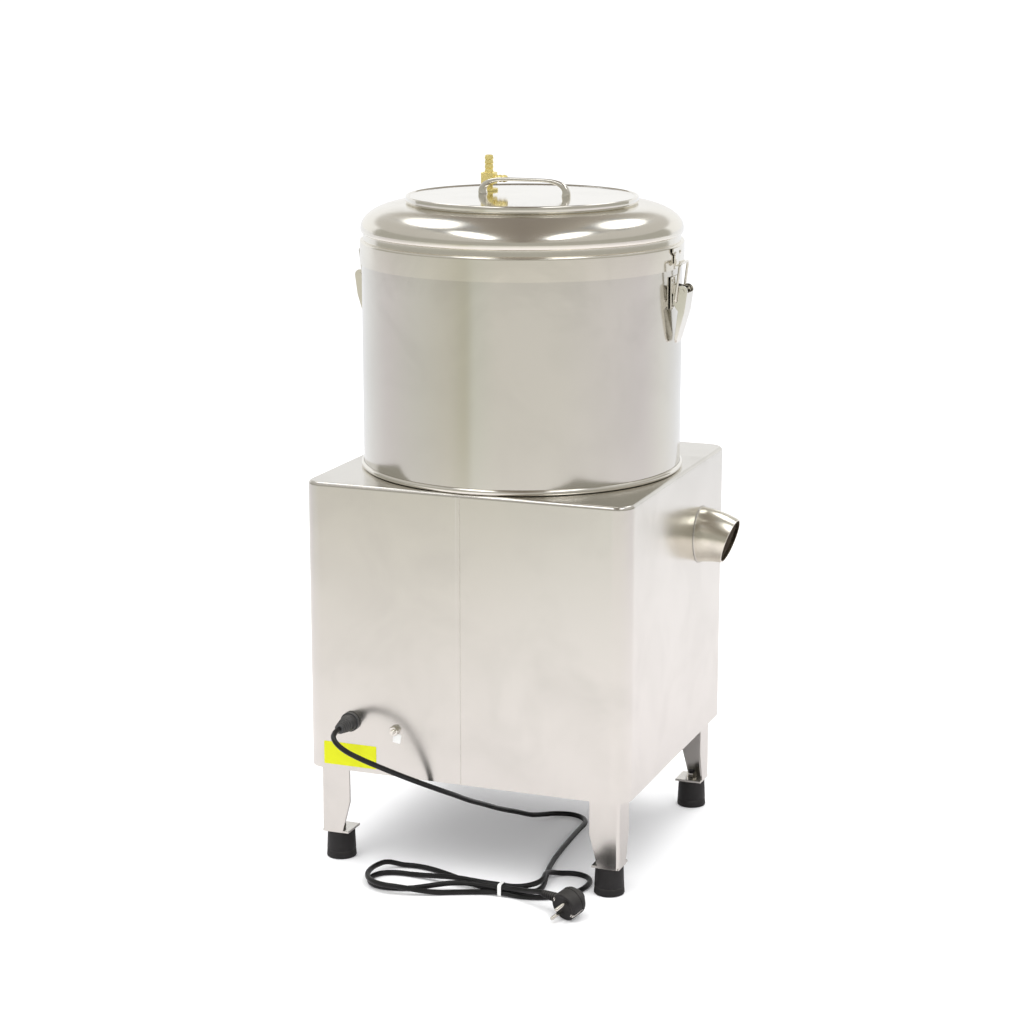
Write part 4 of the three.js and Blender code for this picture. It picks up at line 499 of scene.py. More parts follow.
def box_cutter(low, high):
    """A plain block to cut with."""
    corners = [(x, y, z) for z in (low[2], high[2]) for x, y in
               ((low[0], low[1]), (high[0], low[1]), (high[0], high[1]), (low[0], high[1]))]
    faces = [(3, 2, 1, 0), (4, 5, 6, 7), (0, 1, 5, 4), (1, 2, 6, 5), (2, 3, 7, 6), (3, 0, 4, 7)]
    return mesh_of("cutter", corners, faces, "satin_steel")


# %% Dressing and placing
def dressed(piece, body, slot, *nodes):
    """Puts a piece on its body and hides the nodes that it stands for; its slot is not used."""
    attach(piece, body)
    if nodes:
        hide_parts(*nodes)
    return piece


def even_normals(piece):
    """Keeps large flats flat where they run into small rounds."""
    step = piece.modifiers.new("normals", "WEIGHTED_NORMAL")
    step.keep_sharp = True
    step.weight = 50


def at(x, y, z):
    """A place given from the middle of the cabinet's footprint."""
    return middle + Vector((x, y, z))


def facing(place, toward):
    """A matrix that puts a piece at a place, with its Z along a direction."""
    return Matrix.Translation(place) @ Vector(toward).to_track_quat("Z", "Y").to_matrix().to_4x4()


# %% [markdown]
# ## Drum and lid
# The drum is a rolled tube. The lid is spun from one sheet: a skirt that slips over the drum, a neck, a
# bulge, a domed shoulder and a raised disc with a rolled rim. Polished steel shows every facet, so both
# are turned again from their profiles in 240 steps. A Screw modifier could sweep them too, but a closed
# profile gives the sheet its thickness and its edges in one go.

# %% Profile of the lid
on_axis = Matrix.Translation(middle)
round_steps, soft_angle = 240, 28.0
sheet = 0.0015
lid_low, lid_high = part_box("lid_shell")
skirt_radius = (lid_high.x - lid_low.x) / 2
neck_radius, dome_radius, disc_radius = 0.2106, 0.214, 0.1535
skirt_height, shoulder, neck_height = 0.028, 0.0032, 0.008
skirt_top = lid_low.z + skirt_height
neck_low = skirt_top + shoulder
neck_high = neck_low + neck_height
bulge, dome_rise, crease = 0.0064, 0.0325, 0.0008
bulge_top, dome_top = neck_high + bulge, neck_high + bulge + dome_rise
# The disc stands a little higher than the frame's
rim, dish, extra_rise = 0.0045, 0.0014, 0.003
lid_top = lid_high.z + extra_rise
disc_floor, disc_neck = lid_top - dish, disc_radius - 0.0028
inlet_x, inlet_y, inlet_hole = 0.065, -0.046, 0.0062
flat_radius = inlet_hole + 0.14
lid_profile = [
    (skirt_radius, lid_low.z), (skirt_radius, skirt_top - 0.0006),
    *arc(skirt_radius - shoulder, skirt_top, shoulder, shoulder, 0, 90, 8),
    (neck_radius + crease, neck_low),
    *arc(neck_radius + crease, neck_low + crease, crease, crease, -90, -180, 3),
    (neck_radius, neck_high - 0.0006),
    *arc(neck_radius, bulge_top, dome_radius - neck_radius, bulge, -90, 0, 10),
    *arc(disc_radius, bulge_top, dome_radius - disc_radius, dome_rise, 0, 88, 28)[1:],
    *arc(disc_neck + crease, dome_top + crease, crease, crease, -90, -180, 3),
    (disc_neck, disc_floor - 0.001), (disc_neck - 0.0006, disc_floor), (flat_radius, disc_floor),
    (0, disc_floor), (0, disc_floor - sheet), (disc_neck - sheet, disc_floor - sheet),
    (disc_neck - sheet, dome_top - sheet),
    *arc(disc_radius - sheet, bulge_top, dome_radius - disc_radius, dome_rise - sheet, 88, 0, 16),
    (neck_radius - sheet, neck_high + sheet), (neck_radius - sheet, neck_low - sheet),
    (skirt_radius - sheet, neck_low - sheet), (skirt_radius - sheet, lid_low.z),
]
print("lid of", len(lid_profile), "profile points, radius", round(skirt_radius, 4))

# %% Turn the lid and its disc
inlet_place = Matrix.Translation(at(inlet_x, inlet_y, 0))
below_lid, above_lid = 0.8, 0.95


def stem_cutter():
    """A rod where the inlet's stem goes through the lid."""
    rod = [(0, below_lid), (inlet_hole, below_lid), (inlet_hole, above_lid), (0, above_lid)]
    return turned("cutter", rod, "satin_steel", inlet_place, 64)


spun_lid = turned("spun_lid", lid_profile, "spun_steel", on_axis, round_steps)
dressed(carved(spun_lid, [stem_cutter()], soft_angle), "lid", "polished_steel", "lid_shell")
skin, foot_round, top_round = 0.00015, 0.0011, 0.0022
disc_foot, disc_edge = dome_top + 0.0017, disc_radius + 0.0008
disc_profile = [
    *arc(disc_edge - foot_round, disc_foot + foot_round, foot_round, foot_round, -90, 0, 6),
    *arc(disc_edge - top_round, lid_top - top_round, top_round, top_round, 0, 100, 12),
    (disc_radius - rim, disc_floor - 0.0004), (disc_radius - rim - 0.0008, disc_floor + skin),
    (flat_radius, disc_floor + skin), (0, disc_floor + skin), (0, disc_floor - 0.0005),
    (disc_neck - 0.001, disc_floor - 0.0005), (disc_neck - 0.001, disc_foot)]
pressed_disc = turned("pressed_disc", disc_profile, "polished_steel", on_axis, round_steps)
dressed(carved(pressed_disc, [stem_cutter()], soft_angle), "lid", "polished_steel")
print("disc", round(2 * disc_edge, 4), "m across, its top at", round(lid_top, 4))

# %% Roll the drum and its bead
drum_low, drum_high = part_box("drum_wall")
drum_radius = (drum_high.x - drum_low.x) / 2
drum_profile = [(drum_radius, drum_low.z), (drum_radius, drum_high.z - 0.0004),
                (drum_radius - 0.0004, drum_high.z), (drum_radius - sheet, drum_high.z),
                (drum_radius - sheet, drum_low.z)]
mouth_half, mouth_low, mouth_high = 0.075, 0.584, 0.694
mouth_front, mouth_back = -0.27, -drum_radius * 0.7071
mouth_block = box_cutter(at(-mouth_half, mouth_front, mouth_low), at(mouth_half, mouth_back, mouth_high))
rolled_drum = turned("rolled_drum", drum_profile, "drum_steel", on_axis, round_steps)
dressed(carved(rolled_drum, [mouth_block], soft_angle), "machine", "satin_steel", "drum_wall")
bead_low, bead_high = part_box("drum_base_ring")
bead_inside = drum_radius + 0.0003
bead_half = (bead_high.z - bead_low.z) / 2
bead_out = (bead_high.x - bead_low.x) / 2 - bead_inside
bead_profile = [(bead_inside, bead_low.z),
                *arc(bead_inside, bead_low.z + bead_half, bead_out, bead_half, -88, 88, 16),
                (bead_inside, bead_high.z)]
rolled_bead = turned("rolled_bead", bead_profile, "polished_steel", on_axis, round_steps)
dressed(rolled_bead, "machine", "polished_steel", "drum_base_ring")
print("drum", round(2 * drum_radius, 4), "m across, bead", round(2 * bead_half, 4), "m high")

# %% [markdown]
# ## Cabinet
# One sheet is folded round four corners and welded to the deck, and its ends meet in a narrow seam down the
# back. The skin is lofted from rounded rectangles. A bevelled cube would be quicker, but the seam is part of
# the outline here, a shallow groove, so it catches the light as a real joint does.

# %% Shape of the cabinet
width, depth = cabinet_high.x - cabinet_low.x, cabinet_high.y - cabinet_low.y
corner, edge, wall, lip = 0.024, 0.005, 0.002, 0.008
corner_steps, seam_half = 10, 0.0004
foot_of_skin, deck = cabinet_low.z, cabinet_high.z
print("cabinet from", round(foot_of_skin, 4), "to", round(deck, 4), "m above the floor")


def cabinet_outline(wide, long, radius, z, groove):
    """A rounded rectangle, with a seam groove in its back."""
    rounds = round_rectangle(wide / 2 - radius, long / 2 - radius, radius, corner_steps)
    seams = [(seam_x + out * seam_half, long / 2 - cut * share * groove)
             for seam_x, share in ((0.0087, 0.4), (0.0034, 1.0))
             for out, cut in ((2, 0), (0.8, 1), (-0.8, 1), (-2, 0))]
    outline = rounds[:corner_steps + 1] + seams + rounds[corner_steps + 1:]
    return [at(px, py, z) for px, py in outline]


def cabinet_skin(name, inset, low, high, top_edge, groove):
    """A closed block of the cabinet's shape with a rounded top edge."""
    ring = lambda shrink, z, g: cabinet_outline(
        width - 2 * inset - 2 * shrink, depth - 2 * inset - 2 * shrink, corner - inset - shrink, z, g)
    rings = [ring(0, low, groove)]
    rings += [ring(top_edge - out, high - top_edge + up, groove if up == 0 else 0)
              for out, up in arc(0, 0, top_edge, top_edge, 0, 90, 8)]
    return skinned(name, rings, "satin_steel", sharp=soft_angle)


def round_cutter(radius, length, place, toward):
    """A round rod to cut with, from a place towards a direction."""
    rod = [(0, 0), (radius, 0), (radius, length), (0, length)]
    return turned("cutter", rod, "satin_steel", facing(place, toward), 96)


# %% Cut the cabinet's openings
fit, lip_round = 0.0003, 0.0003
deck_opening, panel_overlap, groove_depth = 0.2035, 0.011, 0.0006
drain = {"y": -0.098, "z": 0.421, "radius": 0.038}
gland = {"x": 0.160, "z": 0.2035, "hole": 0.0083}
stud = {"x": 0.0967, "z": 0.198, "hole": 0.0033}
panel_low, panel_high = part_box("control_box")
cutters = [
    cabinet_skin("cutter", wall, foot_of_skin + wall, deck - wall, edge - wall, 0),
    cabinet_skin("cutter", lip, foot_of_skin - lip, foot_of_skin + 2 * wall, lip_round, 0),
    round_cutter(deck_opening, 4 * lip, at(0, 0, deck - 2 * lip), (0, 0, 1)),
    round_cutter(drain["radius"] + fit, 4 * lip, at(2 * lip - width / 2, drain["y"], drain["z"]), (-1, 0, 0)),
    round_cutter(gland["hole"], 4 * lip, at(gland["x"], depth / 2 - 2 * lip, gland["z"]), (0, 1, 0)),
    round_cutter(stud["hole"], 4 * lip, at(stud["x"], depth / 2 - 2 * lip, stud["z"]), (0, 1, 0)),
    box_cutter((panel_low.x + panel_overlap, cabinet_low.y - lip, panel_low.z + panel_overlap),
               (panel_high.x - panel_overlap, cabinet_low.y + lip, panel_high.z - panel_overlap)),
]
folded_cabinet = cabinet_skin("folded_cabinet", 0, foot_of_skin, deck, edge, groove_depth)
carved(folded_cabinet, cutters, soft_angle)
even_normals(folded_cabinet)
dressed(folded_cabinet, "machine", "satin_steel", "cabinet_shell")
print("cabinet", round(width, 4), "by", round(depth, 4), "with", len(folded_cabinet.data.polygons), "faces")

# %% [markdown]
# ## Spout
# The waste spout is a thin tube that is welded to the cabinet's side. It tapers and looks a little down. A
# plain cone would have a straight axis, so the tube is skinned over rings that tilt more and more on the way
# out. Its bore lies in shade, so a thin lining of its own is painted dark brown with that shade.

# %% Make the spout
cone_tilt, mouth_radius, tube_wall, lining_gap = 18, 0.0318, 0.0022, 0.0003
side = -width / 2
cone_start, spout_start, lining_start = side + 0.001, -0.12, side + 0.01
mouth_place = (side - 0.0415, drain["z"] - 0.0062)
sump_radius, sump_low, sump_high = drum_radius - 0.008 + fit, 0.37, 0.47


def spout_ring(x, z, tilt, radius, count=96):
    """A ring of the spout: a circle that is tilted about Y by some degrees."""
    a = math.radians(tilt)
    turns = [2 * math.pi * i / count for i in range(count)]
    return [at(x - radius * math.sin(t) * math.sin(a), drain["y"] - radius * math.cos(t),
               z + radius * math.sin(t) * math.cos(a)) for t in turns]


def spout_rings(shrink, start):
    """The spout's rings from inside the cabinet to its mouth, for the outside or the bore."""
    body = drain["radius"] - shrink
    rings = [spout_ring(start, drain["z"], 0, body), spout_ring(side + 0.004, drain["z"], 0, body)]
    for i in range(9):
        t = i / 8
        x = cone_start + (mouth_place[0] - cone_start) * t
        z = drain["z"] + (mouth_place[1] - drain["z"]) * t * t
        tilt = cone_tilt * (1 - (1 - t) ** 1.25)
        radius = body + (mouth_radius - shrink - body) * (0.25 * t + 0.75 * t ** 1.5)
        rings.append(spout_ring(x, z, tilt, radius))
    return rings


edge_ring = spout_ring(mouth_place[0] - 0.0004, mouth_place[1] - 0.0001, cone_tilt,
                       mouth_radius - tube_wall / 2)
tube = spout_rings(0, spout_start) + [edge_ring] + spout_rings(tube_wall, spout_start)[::-1]
welded_spout = skinned("welded_spout", tube, "tinted_steel", closed=True, sharp=50)
sump_outline = [(0, sump_low), (sump_radius, sump_low), (sump_radius, sump_high), (0, sump_high)]
round_sump = turned("cutter", sump_outline, "satin_steel", on_axis, 160)
dressed(carved(welded_spout, [round_sump], 50), "machine", "satin_steel", "drain_spout")
print("spout tapers from", drain["radius"], "to", mouth_radius)

# %% Line its bore
lining = [spout_ring(side + 0.012, drain["z"], 0, drain["radius"] - tube_wall - lining_gap)]
lining += spout_rings(tube_wall + lining_gap, lining_start)[1:-1]
back_of_lining = spout_rings(tube_wall + lining_gap / 3, lining_start)[1:-1]
# The lining is painted dark brown with the shade inside the bore
painted_bore_shade = skinned("painted_bore_shade", lining + back_of_lining[::-1], "painted_bore_shade", closed=True, sharp=50)
dressed(painted_bore_shade, "machine", "satin_steel")
print("lining of", len(lining), "rings")

# %% Run the weld round it
weld_points = []
for i, place in enumerate(spout_ring(side - 0.0006, drain["z"], 0, drain["radius"] + 0.0004, 300)):
    lump = 0.5 + 0.5 * math.sin(i * 1.37) * math.sin(i * 0.31)
    uneven = Vector((-0.0003 * lump, 0.0002 * math.sin(i * 2.7), 0.0002 * math.cos(i * 1.9)))
    weld_points.append(place + uneven)
weld = line_of("spout_weld", weld_points, 0.0008, 3)
weld.data.splines[0].use_cyclic_u = True
weld.data.materials.append(finishes["satin_steel"])
dressed(weld, "machine", "satin_steel")
print("weld bead of", len(weld_points), "points")

# %% [markdown]
# ## Legs and feet
# The legs are bent from 3 mm sheet, so their outer corner is round. They taper to the foot and stand on
# small plates over rubber feet with a nut to level them. One section of an angle, skinned at three heights,
# makes a leg, and a quarter turn for each corner makes the four of them alike.

# %% Sections of a leg and a foot
foot_height, foot_low_radius, foot_top_radius = 0.038, 0.0202, 0.0186
foot_post, foot_post_top, base_round, top_edge = 0.004, foot_height + 0.0133, 0.002, 0.0012
foot_profile = [(0, 0), (foot_low_radius - 0.003, 0),
                *arc(foot_low_radius - base_round, base_round, base_round, base_round, -90, 0, 5),
                (foot_low_radius - 0.0006, 0.0095), (foot_low_radius - 0.0012, 0.0105),
                (foot_low_radius - 0.0006, 0.0115), (foot_top_radius, foot_height - 0.0035),
                *arc(foot_top_radius - top_edge, foot_height - top_edge, top_edge, top_edge, 0, 90, 4),
                (foot_post, foot_height), (foot_post, foot_post_top), (0, foot_post_top)]
leg_top, leg_bottom, leg_sheet, bend_radius = 0.041, 0.029, 0.003, 0.004
leg_low, leg_high, leg_taper = foot_height + fit, foot_of_skin + 0.0117, foot_of_skin - 0.050
leg_inset, plate_width, pad_width, plate_gap = 0.014, 0.038, 0.046, 0.0004
nut_low, nut_high = leg_low + 0.0033, leg_low + 0.0093
nut_profile = [(0.0043, nut_low), (0.0065, nut_low), (0.007, nut_low + 0.0005), (0.007, nut_high - 0.0005),
               (0.0065, nut_high), (0.0043, nut_high)]
bolt_profile = [(0, 0), (0.0075, 0), (0.0075, 0.0012), (0.0058, 0.0014), (0.0058, 0.0058), (0.0048, 0.0066),
                (0.0034, 0.0066), (0.0034, 0.009), (0, 0.0095)]
print("leg from", round(leg_low, 4), "to", round(leg_high, 4), "m on a foot of", foot_height)


def angle_ring(reach, z):
    """The section of a bent angle whose outer corner is at zero and whose flanges run along -X and -Y."""
    out = arc(-bend_radius, -bend_radius, bend_radius, bend_radius, 90, 0, 6)
    inner = arc(-bend_radius, -bend_radius, bend_radius - leg_sheet, bend_radius - leg_sheet, 0, 90, 6)
    return [(x, y, z) for x, y in [(-reach, 0), *out, (0, -reach), (-leg_sheet, -reach), *inner,
                                   (-reach, -leg_sheet)]]


def block_of(name, low, high, finish, turn=Matrix(), width_of_round=0.0004):
    """A block with small round edges."""
    piece = box_cutter(low, high)
    piece.name = piece.data.name = name
    piece.data.materials[0] = finishes[finish]
    piece.data.transform(turn)
    bevel = piece.modifiers.new("round", "BEVEL")
    bevel.width, bevel.segments = width_of_round, 2
    even_normals(piece)
    return piece


# %% Set up the four legs
leg_corners = (("rear_left", 1, 1), ("rear_right", -1, 1), ("front_right", -1, -1), ("front_left", 1, -1))
for i, (name, x, y) in enumerate(leg_corners):
    corner_at = at(x * (width / 2 - leg_inset), y * (depth / 2 - leg_inset), 0)
    turn = Matrix.Translation(corner_at) @ Matrix.Rotation(i * math.pi / 2, 4, "Z")
    sections = ((leg_bottom, leg_low), (leg_top, leg_taper), (leg_top, leg_high))
    rings = [[turn @ Vector(p) for p in angle_ring(reach, z)] for reach, z in sections]
    bent_leg = skinned(f"bent_leg_{name}", rings, "satin_steel")
    bevel = bent_leg.modifiers.new("round", "BEVEL")
    bevel.width, bevel.segments = 0.0004, 2
    bevel.limit_method, bevel.angle_limit = "ANGLE", math.radians(50)
    even_normals(bent_leg)
    plate = block_of(f"foot_plate_{name}", (-plate_width, -plate_width, leg_low),
                     (-plate_gap, -plate_gap, leg_low + leg_sheet), "satin_steel", turn)
    pad = block_of(f"leg_pad_{name}", (-pad_width, -pad_width, leg_high - leg_sheet),
                   (-plate_gap, -plate_gap, leg_high), "satin_steel", turn)
    bolt_at = turn @ Vector((-leg_top * 0.55, -leg_sheet, leg_high - 0.024))
    bolt_turn = facing(bolt_at, turn.to_3x3() @ Vector((0, -1, 0)))
    bolt = turned(f"leg_bolt_{name}", bolt_profile, "polished_steel", bolt_turn, 48)
    foot_turn = Matrix.Translation(turn @ Vector((-plate_width / 2, -plate_width / 2, 0)))
    foot = turned(f"rubber_cap_{name}", foot_profile, "black_rubber", foot_turn, 72)
    dressed(foot, "machine", "black_rubber", f"rubber_foot_{name}")
    nut = turned(f"foot_nut_{name}", nut_profile, "polished_steel", foot_turn, 6, 20.0)
    for part in (bent_leg, plate, pad, bolt, nut):
        dressed(part, "machine", "satin_steel")
    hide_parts(f"leg_{name}")
print("four legs and feet,", round(leg_high, 4), "m to their tops")

# %% [markdown]
# ## Handle and water inlet
# The strap handle stands on the mirror-bright disc, which shows it upside down. It is thick at its feet and
# thin on top, so it is skinned over sections whose size changes along a smooth path. A bevelled curve would
# keep one section all the way. The brass fitting has a square body, a barbed tail for the hose and a short
# barbed branch. A lathe made the real one, so all but its body is turned.

# %% Bend the handle
handle_x, handle_y, strap_sides = -0.0008, -0.006, 28
disc_level = disc_floor + 0.0004
# Half of the strap: place along and up, half thickness, half breadth
strap = [(-0.0588, 0.0, 0.0057, 0.0062), (-0.0593, 0.0035, 0.0054, 0.006), (-0.0585, 0.0075, 0.0048, 0.0056),
         (-0.0555, 0.0118, 0.0041, 0.005), (-0.0495, 0.0157, 0.0034, 0.0044), (-0.041, 0.0184, 0.0028, 0.004),
         (-0.031, 0.0196, 0.0025, 0.0038), (-0.012, 0.0199, 0.0024, 0.0038)]
path = smooth_run([(x, 0, z) for x, z, _, _ in strap] + [(-x, 0, z) for x, z, _, _ in strap[::-1]], 12)
# The sizes are smoothed as places are, and the third value only keeps them apart
half_sizes = [(thick, wide, i * 0.01) for i, (_, _, thick, wide) in enumerate(strap + strap[::-1])]
half_sizes = smooth_run(half_sizes, 12)
squarish = lambda value: math.copysign(abs(value) ** 0.7, value)
rings = []
for i, (place, half_size) in enumerate(zip(path, half_sizes)):
    along = (path[min(len(path) - 1, i + 1)] - path[max(0, i - 1)]).normalized()
    if i in (0, len(path) - 1):
        along = Vector((0, 0, 1 if i == 0 else -1))
    normal = Vector((-along.z, 0, along.x))
    centre = at(handle_x + place.x, handle_y, disc_level + place.z)
    turns = [2 * math.pi * k / strap_sides for k in range(strap_sides)]
    rings.append([centre + normal * half_size.x * squarish(math.sin(t))
                  + Vector((0, half_size.y * squarish(math.cos(t)), 0)) for t in turns])
strap_handle = skinned("strap_handle", rings, "polished_steel", sharp=60)
dressed(strap_handle, "lid", "polished_steel", "lid_handle")
print("handle of", len(rings), "sections")

# %% Turn the brass fitting
body_low, body_high, half_body, body_round = disc_level + 0.0085, disc_level + 0.0245, 0.00925, 0.003
stem, nut_top = 0.0052, disc_level + 0.003


def barbed(start, length, count, wide, narrow, bore):
    """A closed profile of a barbed hose tail along its own axis."""
    step = length / count
    profile = [(bore, start), (wide * 0.9, start)]
    for i in range(count):
        low = start + i * step
        profile += [(wide, low + step * 0.12), (wide, low + step * 0.3), (narrow, low + step * 0.95)]
    return profile + [(narrow - 0.0006, start + length), (bore, start + length)]


stem_profile = [(0, disc_level - 0.016), (stem, disc_level - 0.016), (stem, disc_level), (0.012, disc_level),
                (0.012, disc_level + 0.0024), (0.0114, nut_top), (stem, nut_top), (stem, body_low + 0.001),
                (0, body_low + 0.001)]
tail_profile = barbed(body_high - 0.0005, 0.0235, 4, 0.006, 0.0051, 0.0036)
branch_profile = barbed(0, 0.0173, 3, 0.005, 0.004, 0.0024)
branch_at = Matrix.Translation((-half_body + 0.0005, 0, (body_low + body_high) / 2))
branch_turn = inlet_place @ branch_at @ Matrix.Rotation(-math.pi / 2, 4, "Y")
flat_half = half_body - body_round
block_rings = [[inlet_place @ Vector((x, y, z)) for x, y in round_rectangle(half, half, body_round, 6)]
               for half, z in ((flat_half - 0.0008, body_low), (flat_half, body_low + 0.0008),
                               (flat_half, body_high - 0.0008), (flat_half - 0.0008, body_high))]
inlet_stem = turned("inlet_stem", stem_profile, "brass", inlet_place, 48)
hose_tail = turned("hose_tail", tail_profile, "brass", inlet_place, 48)
side_branch = turned("side_branch", branch_profile, "brass", branch_turn, 40)
fitting_body = skinned("fitting_body", block_rings, "brass")
for part in (inlet_stem, hose_tail, side_branch, fitting_body):
    dressed(part, "lid", "brass")
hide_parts("inlet_elbow")
print("inlet up to", round(body_high + 0.023, 4))

# %% [markdown]
# ## Latches
# A hook on the skirt, a base on the drum, a lever and a wire bail hold the lid down on each side. The bent
# sheets come with the frame. Each bail is one bent wire, and a curve with a round bevel follows its path
# more evenly than a row of cylinders. Rivets hold the hooks to the skirt and the bases to the drum.

# %% Path of a bail
pivot_level, plate_sheet, wire, bend = lid_low.z - 0.027, 0.002, 0.00175, 0.0034
bail_x, bail_level = drum_radius + 0.0072, pivot_level - 0.013
hook_face, base_face = skirt_radius + fit + plate_sheet, drum_radius + 0.0023
bar_x, bar_level = hook_face + 0.0023 + 0.0023 + plate_sheet + fit + wire, lid_low.z + 0.009
half_bail, bail_end = 0.0175, 0.0116


def rounded_path(points, reach, steps=6):
    """Straight runs whose corners are rounded."""
    knots = [Vector(p) for p in points]
    run = [knots[0]]
    for a, b, c in zip(knots, knots[1:], knots[2:]):
        before, after = b + (a - b).normalized() * reach, b + (c - b).normalized() * reach
        run += [before.lerp(b, t).lerp(b.lerp(after, t), t) for t in (i / steps for i in range(steps + 1))]
    return run + [knots[-1]]


bail_points = rounded_path([(bail_x, -bail_end, bail_level), (bail_x, -half_bail, bail_level),
                            (bar_x, -half_bail, bar_level), (bar_x, half_bail, bar_level),
                            (bail_x, half_bail, bail_level), (bail_x, bail_end, bail_level)], bend)
print("bail of", len(bail_points), "points")

# %% Set the bails and rivets
latch_y, rivet_height = 0.005, 0.0013
rivets = [(hook_face, y, 0.8185, 0.0026, "lid") for y in (-0.0105, 0.0105)]
rivets += [(base_face, y, z, 0.0022, "machine") for z in (0.7835, 0.7495) for y in (-0.0135, 0.0135)]
for name, angle in (("left", 0), ("right", math.pi)):
    turn = Matrix.Translation(at(0, latch_y, 0)) @ Matrix.Rotation(angle, 4, "Z")
    bail = line_of(f"wire_bail_{name}", [turn @ p for p in bail_points], wire, 6)
    bail.data.materials.append(finishes["polished_steel"])
    dressed(bail, f"{name}_bail", "polished_steel", f"latch_bail_{name}")
    for k, (x, y, z, r, body) in enumerate(rivets):
        stand = turn @ Matrix.Translation((x, y, z)) @ Matrix.Rotation(math.pi / 2, 4, "Y")
        head = [(0, -0.0002), (r, -0.0002), (r, rivet_height * 0.3), (r * 0.8, rivet_height * 0.75),
                (r * 0.4, rivet_height), (0, rivet_height)]
        dressed(turned(f"rivet_{name}_{k}", head, "polished_steel", stand, 32), body, "polished_steel")
print("two bails, and", len(rivets), "rivets on each side")

# %% [markdown]
# ## Gland, earth terminal and labels
# The cord enters through a gland with a ribbed, tapering sleeve. Beside it stand the earth screw and a small
# white tag, and a bare yellow plate is stuck under it. Gland and screw are turned, each from one profile that
# reaches through the sheet, so that no gap can show. Tag and plate are thin solids with round corners. A
# picture on the cabinet would do from afar, but it would have no edge to catch the light.


# %% Turn the gland
def on_back(x, z):
    """A matrix that lays a piece on the cabinet's back, with its Z outwards."""
    return Matrix.Translation(at(x, depth / 2, z)) @ Matrix.Rotation(-math.pi / 2, 4, "X")


sleeve_start, sleeve_end, sleeve_foot, sleeve_tip, ribs = 0.018, 0.038, 0.0098, 0.0062, 5
sleeve = []
for i in range(ribs):
    z = sleeve_start + (sleeve_end - sleeve_start) * i / ribs
    r = sleeve_foot + (sleeve_tip - sleeve_foot) * i / ribs
    sleeve += [(r, z), (r - 0.0001, z + 0.0024), (r - 0.0012, z + 0.0029), (r - 0.0012, z + 0.0036)]
gland_profile = [(0, -0.009), (0.012, -0.009), (0.012, -0.0023), (0.008, -0.0023), (0.008, 0.0003),
                 (0.0124, 0.0003), (0.013, 0.0009), (0.013, 0.0058), (0.0126, 0.0063), (0.0113, 0.0066),
                 *arc(0.0075, 0.0105, 0.0036, 0.0066, 0, 80, 8)[1:], *sleeve,
                 (sleeve_tip, sleeve_end - 0.0006), (sleeve_tip - 0.0006, sleeve_end), (0, sleeve_end)]
ribbed_gland = turned("ribbed_gland", gland_profile, "black_plastic", on_back(gland["x"], gland["z"]), 72)
dressed(ribbed_gland, "machine", "black_plastic", "cable_gland")
print("gland with", ribs, "ribs, out to", sleeve_end)

# %% Turn the earth terminal
terminal_turn = on_back(stud["x"], stud["z"])
thread_radius, thread_depth, thread_pitch = 0.003, 0.00025, 0.0004
threads = [(thread_radius - thread_depth * (i % 2), 0.007 + i * thread_pitch) for i in range(12)]
stud_profile = [(0, -0.007), (0.0058, -0.007), (0.0058, -0.0023), (0.003, -0.0023), (0.003, 0.0003),
                (0.0064, 0.0003), (0.0064, 0.0018), (0.003, 0.0019), *threads, (0.0024, 0.012), (0, 0.012)]
earth_stud = turned("earth_stud", stud_profile, "polished_steel", terminal_turn, 48)
dressed(earth_stud, "machine", "polished_steel", "ground_terminal")
nut_corner = 0.0058 / math.cos(math.pi / 6)
nut_angles = [math.radians(12 + 60 * i) for i in range(6)]
hexagon = [(nut_corner * math.cos(a), nut_corner * math.sin(a)) for a in nut_angles]
nut_rings = [[terminal_turn @ Vector((x * s, y * s, z)) for x, y in hexagon]
             for s, z in ((0.93, 0.0019), (1, 0.0023), (1, 0.0064), (0.93, 0.0068))]
earth_nut = skinned("earth_nut", nut_rings, "polished_steel", sharp=20)
dressed(earth_nut, "machine", "polished_steel")
print("earth terminal with", len(threads), "points of thread")


# %% Lay the plate and the tag
def label(name, x, z, wide, high, tilt, finish, slot):
    """A thin plate with round corners that lies on the cabinet's back."""
    turn = on_back(x, z) @ Matrix.Rotation(math.radians(tilt), 4, "Z")
    thick, corner_radius = 0.0004, 0.0012
    shape = round_rectangle(wide / 2 - corner_radius, high / 2 - corner_radius, corner_radius, 4)
    rings = [[turn @ Vector((px * s, py * s, pz)) for px, py in shape]
             for s, pz in ((1, 0.00005), (1, thick * 0.7), (0.997, thick))]
    dressed(skinned(name, rings, finish, sharp=25), "machine", slot)


label("yellow_plate", 0.162, 0.1562, 0.076, 0.0315, 0, "yellow_plate", "satin_steel")
label("small_tag", 0.0938, 0.187, 0.011, 0.0125, -8, "white_plastic", "white_plastic")
print("plate and tag")

# %% [markdown]
# ## Controls
# The buttons and the timer knob are moulded round, so they are turned again with fine steps. The box gets
# its screws, each button a bright bezel, and the knob a dial of plain ticks and a white pointer line. The
# ticks start at the top, where the pointer rests, and follow the knob's turn of 300 degrees.


# %% Turn the buttons
def on_panel(x, z):
    """A matrix that stands a piece on the control box's face, with its Z outwards."""
    return Matrix.Translation((x, panel_low.y, z)) @ Matrix.Rotation(math.pi / 2, 4, "X")


def face_middle(node):
    """A node's middle across and up, as seen from the front."""
    low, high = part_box(node)
    return (low.x + high.x) / 2, (low.z + high.z) / 2


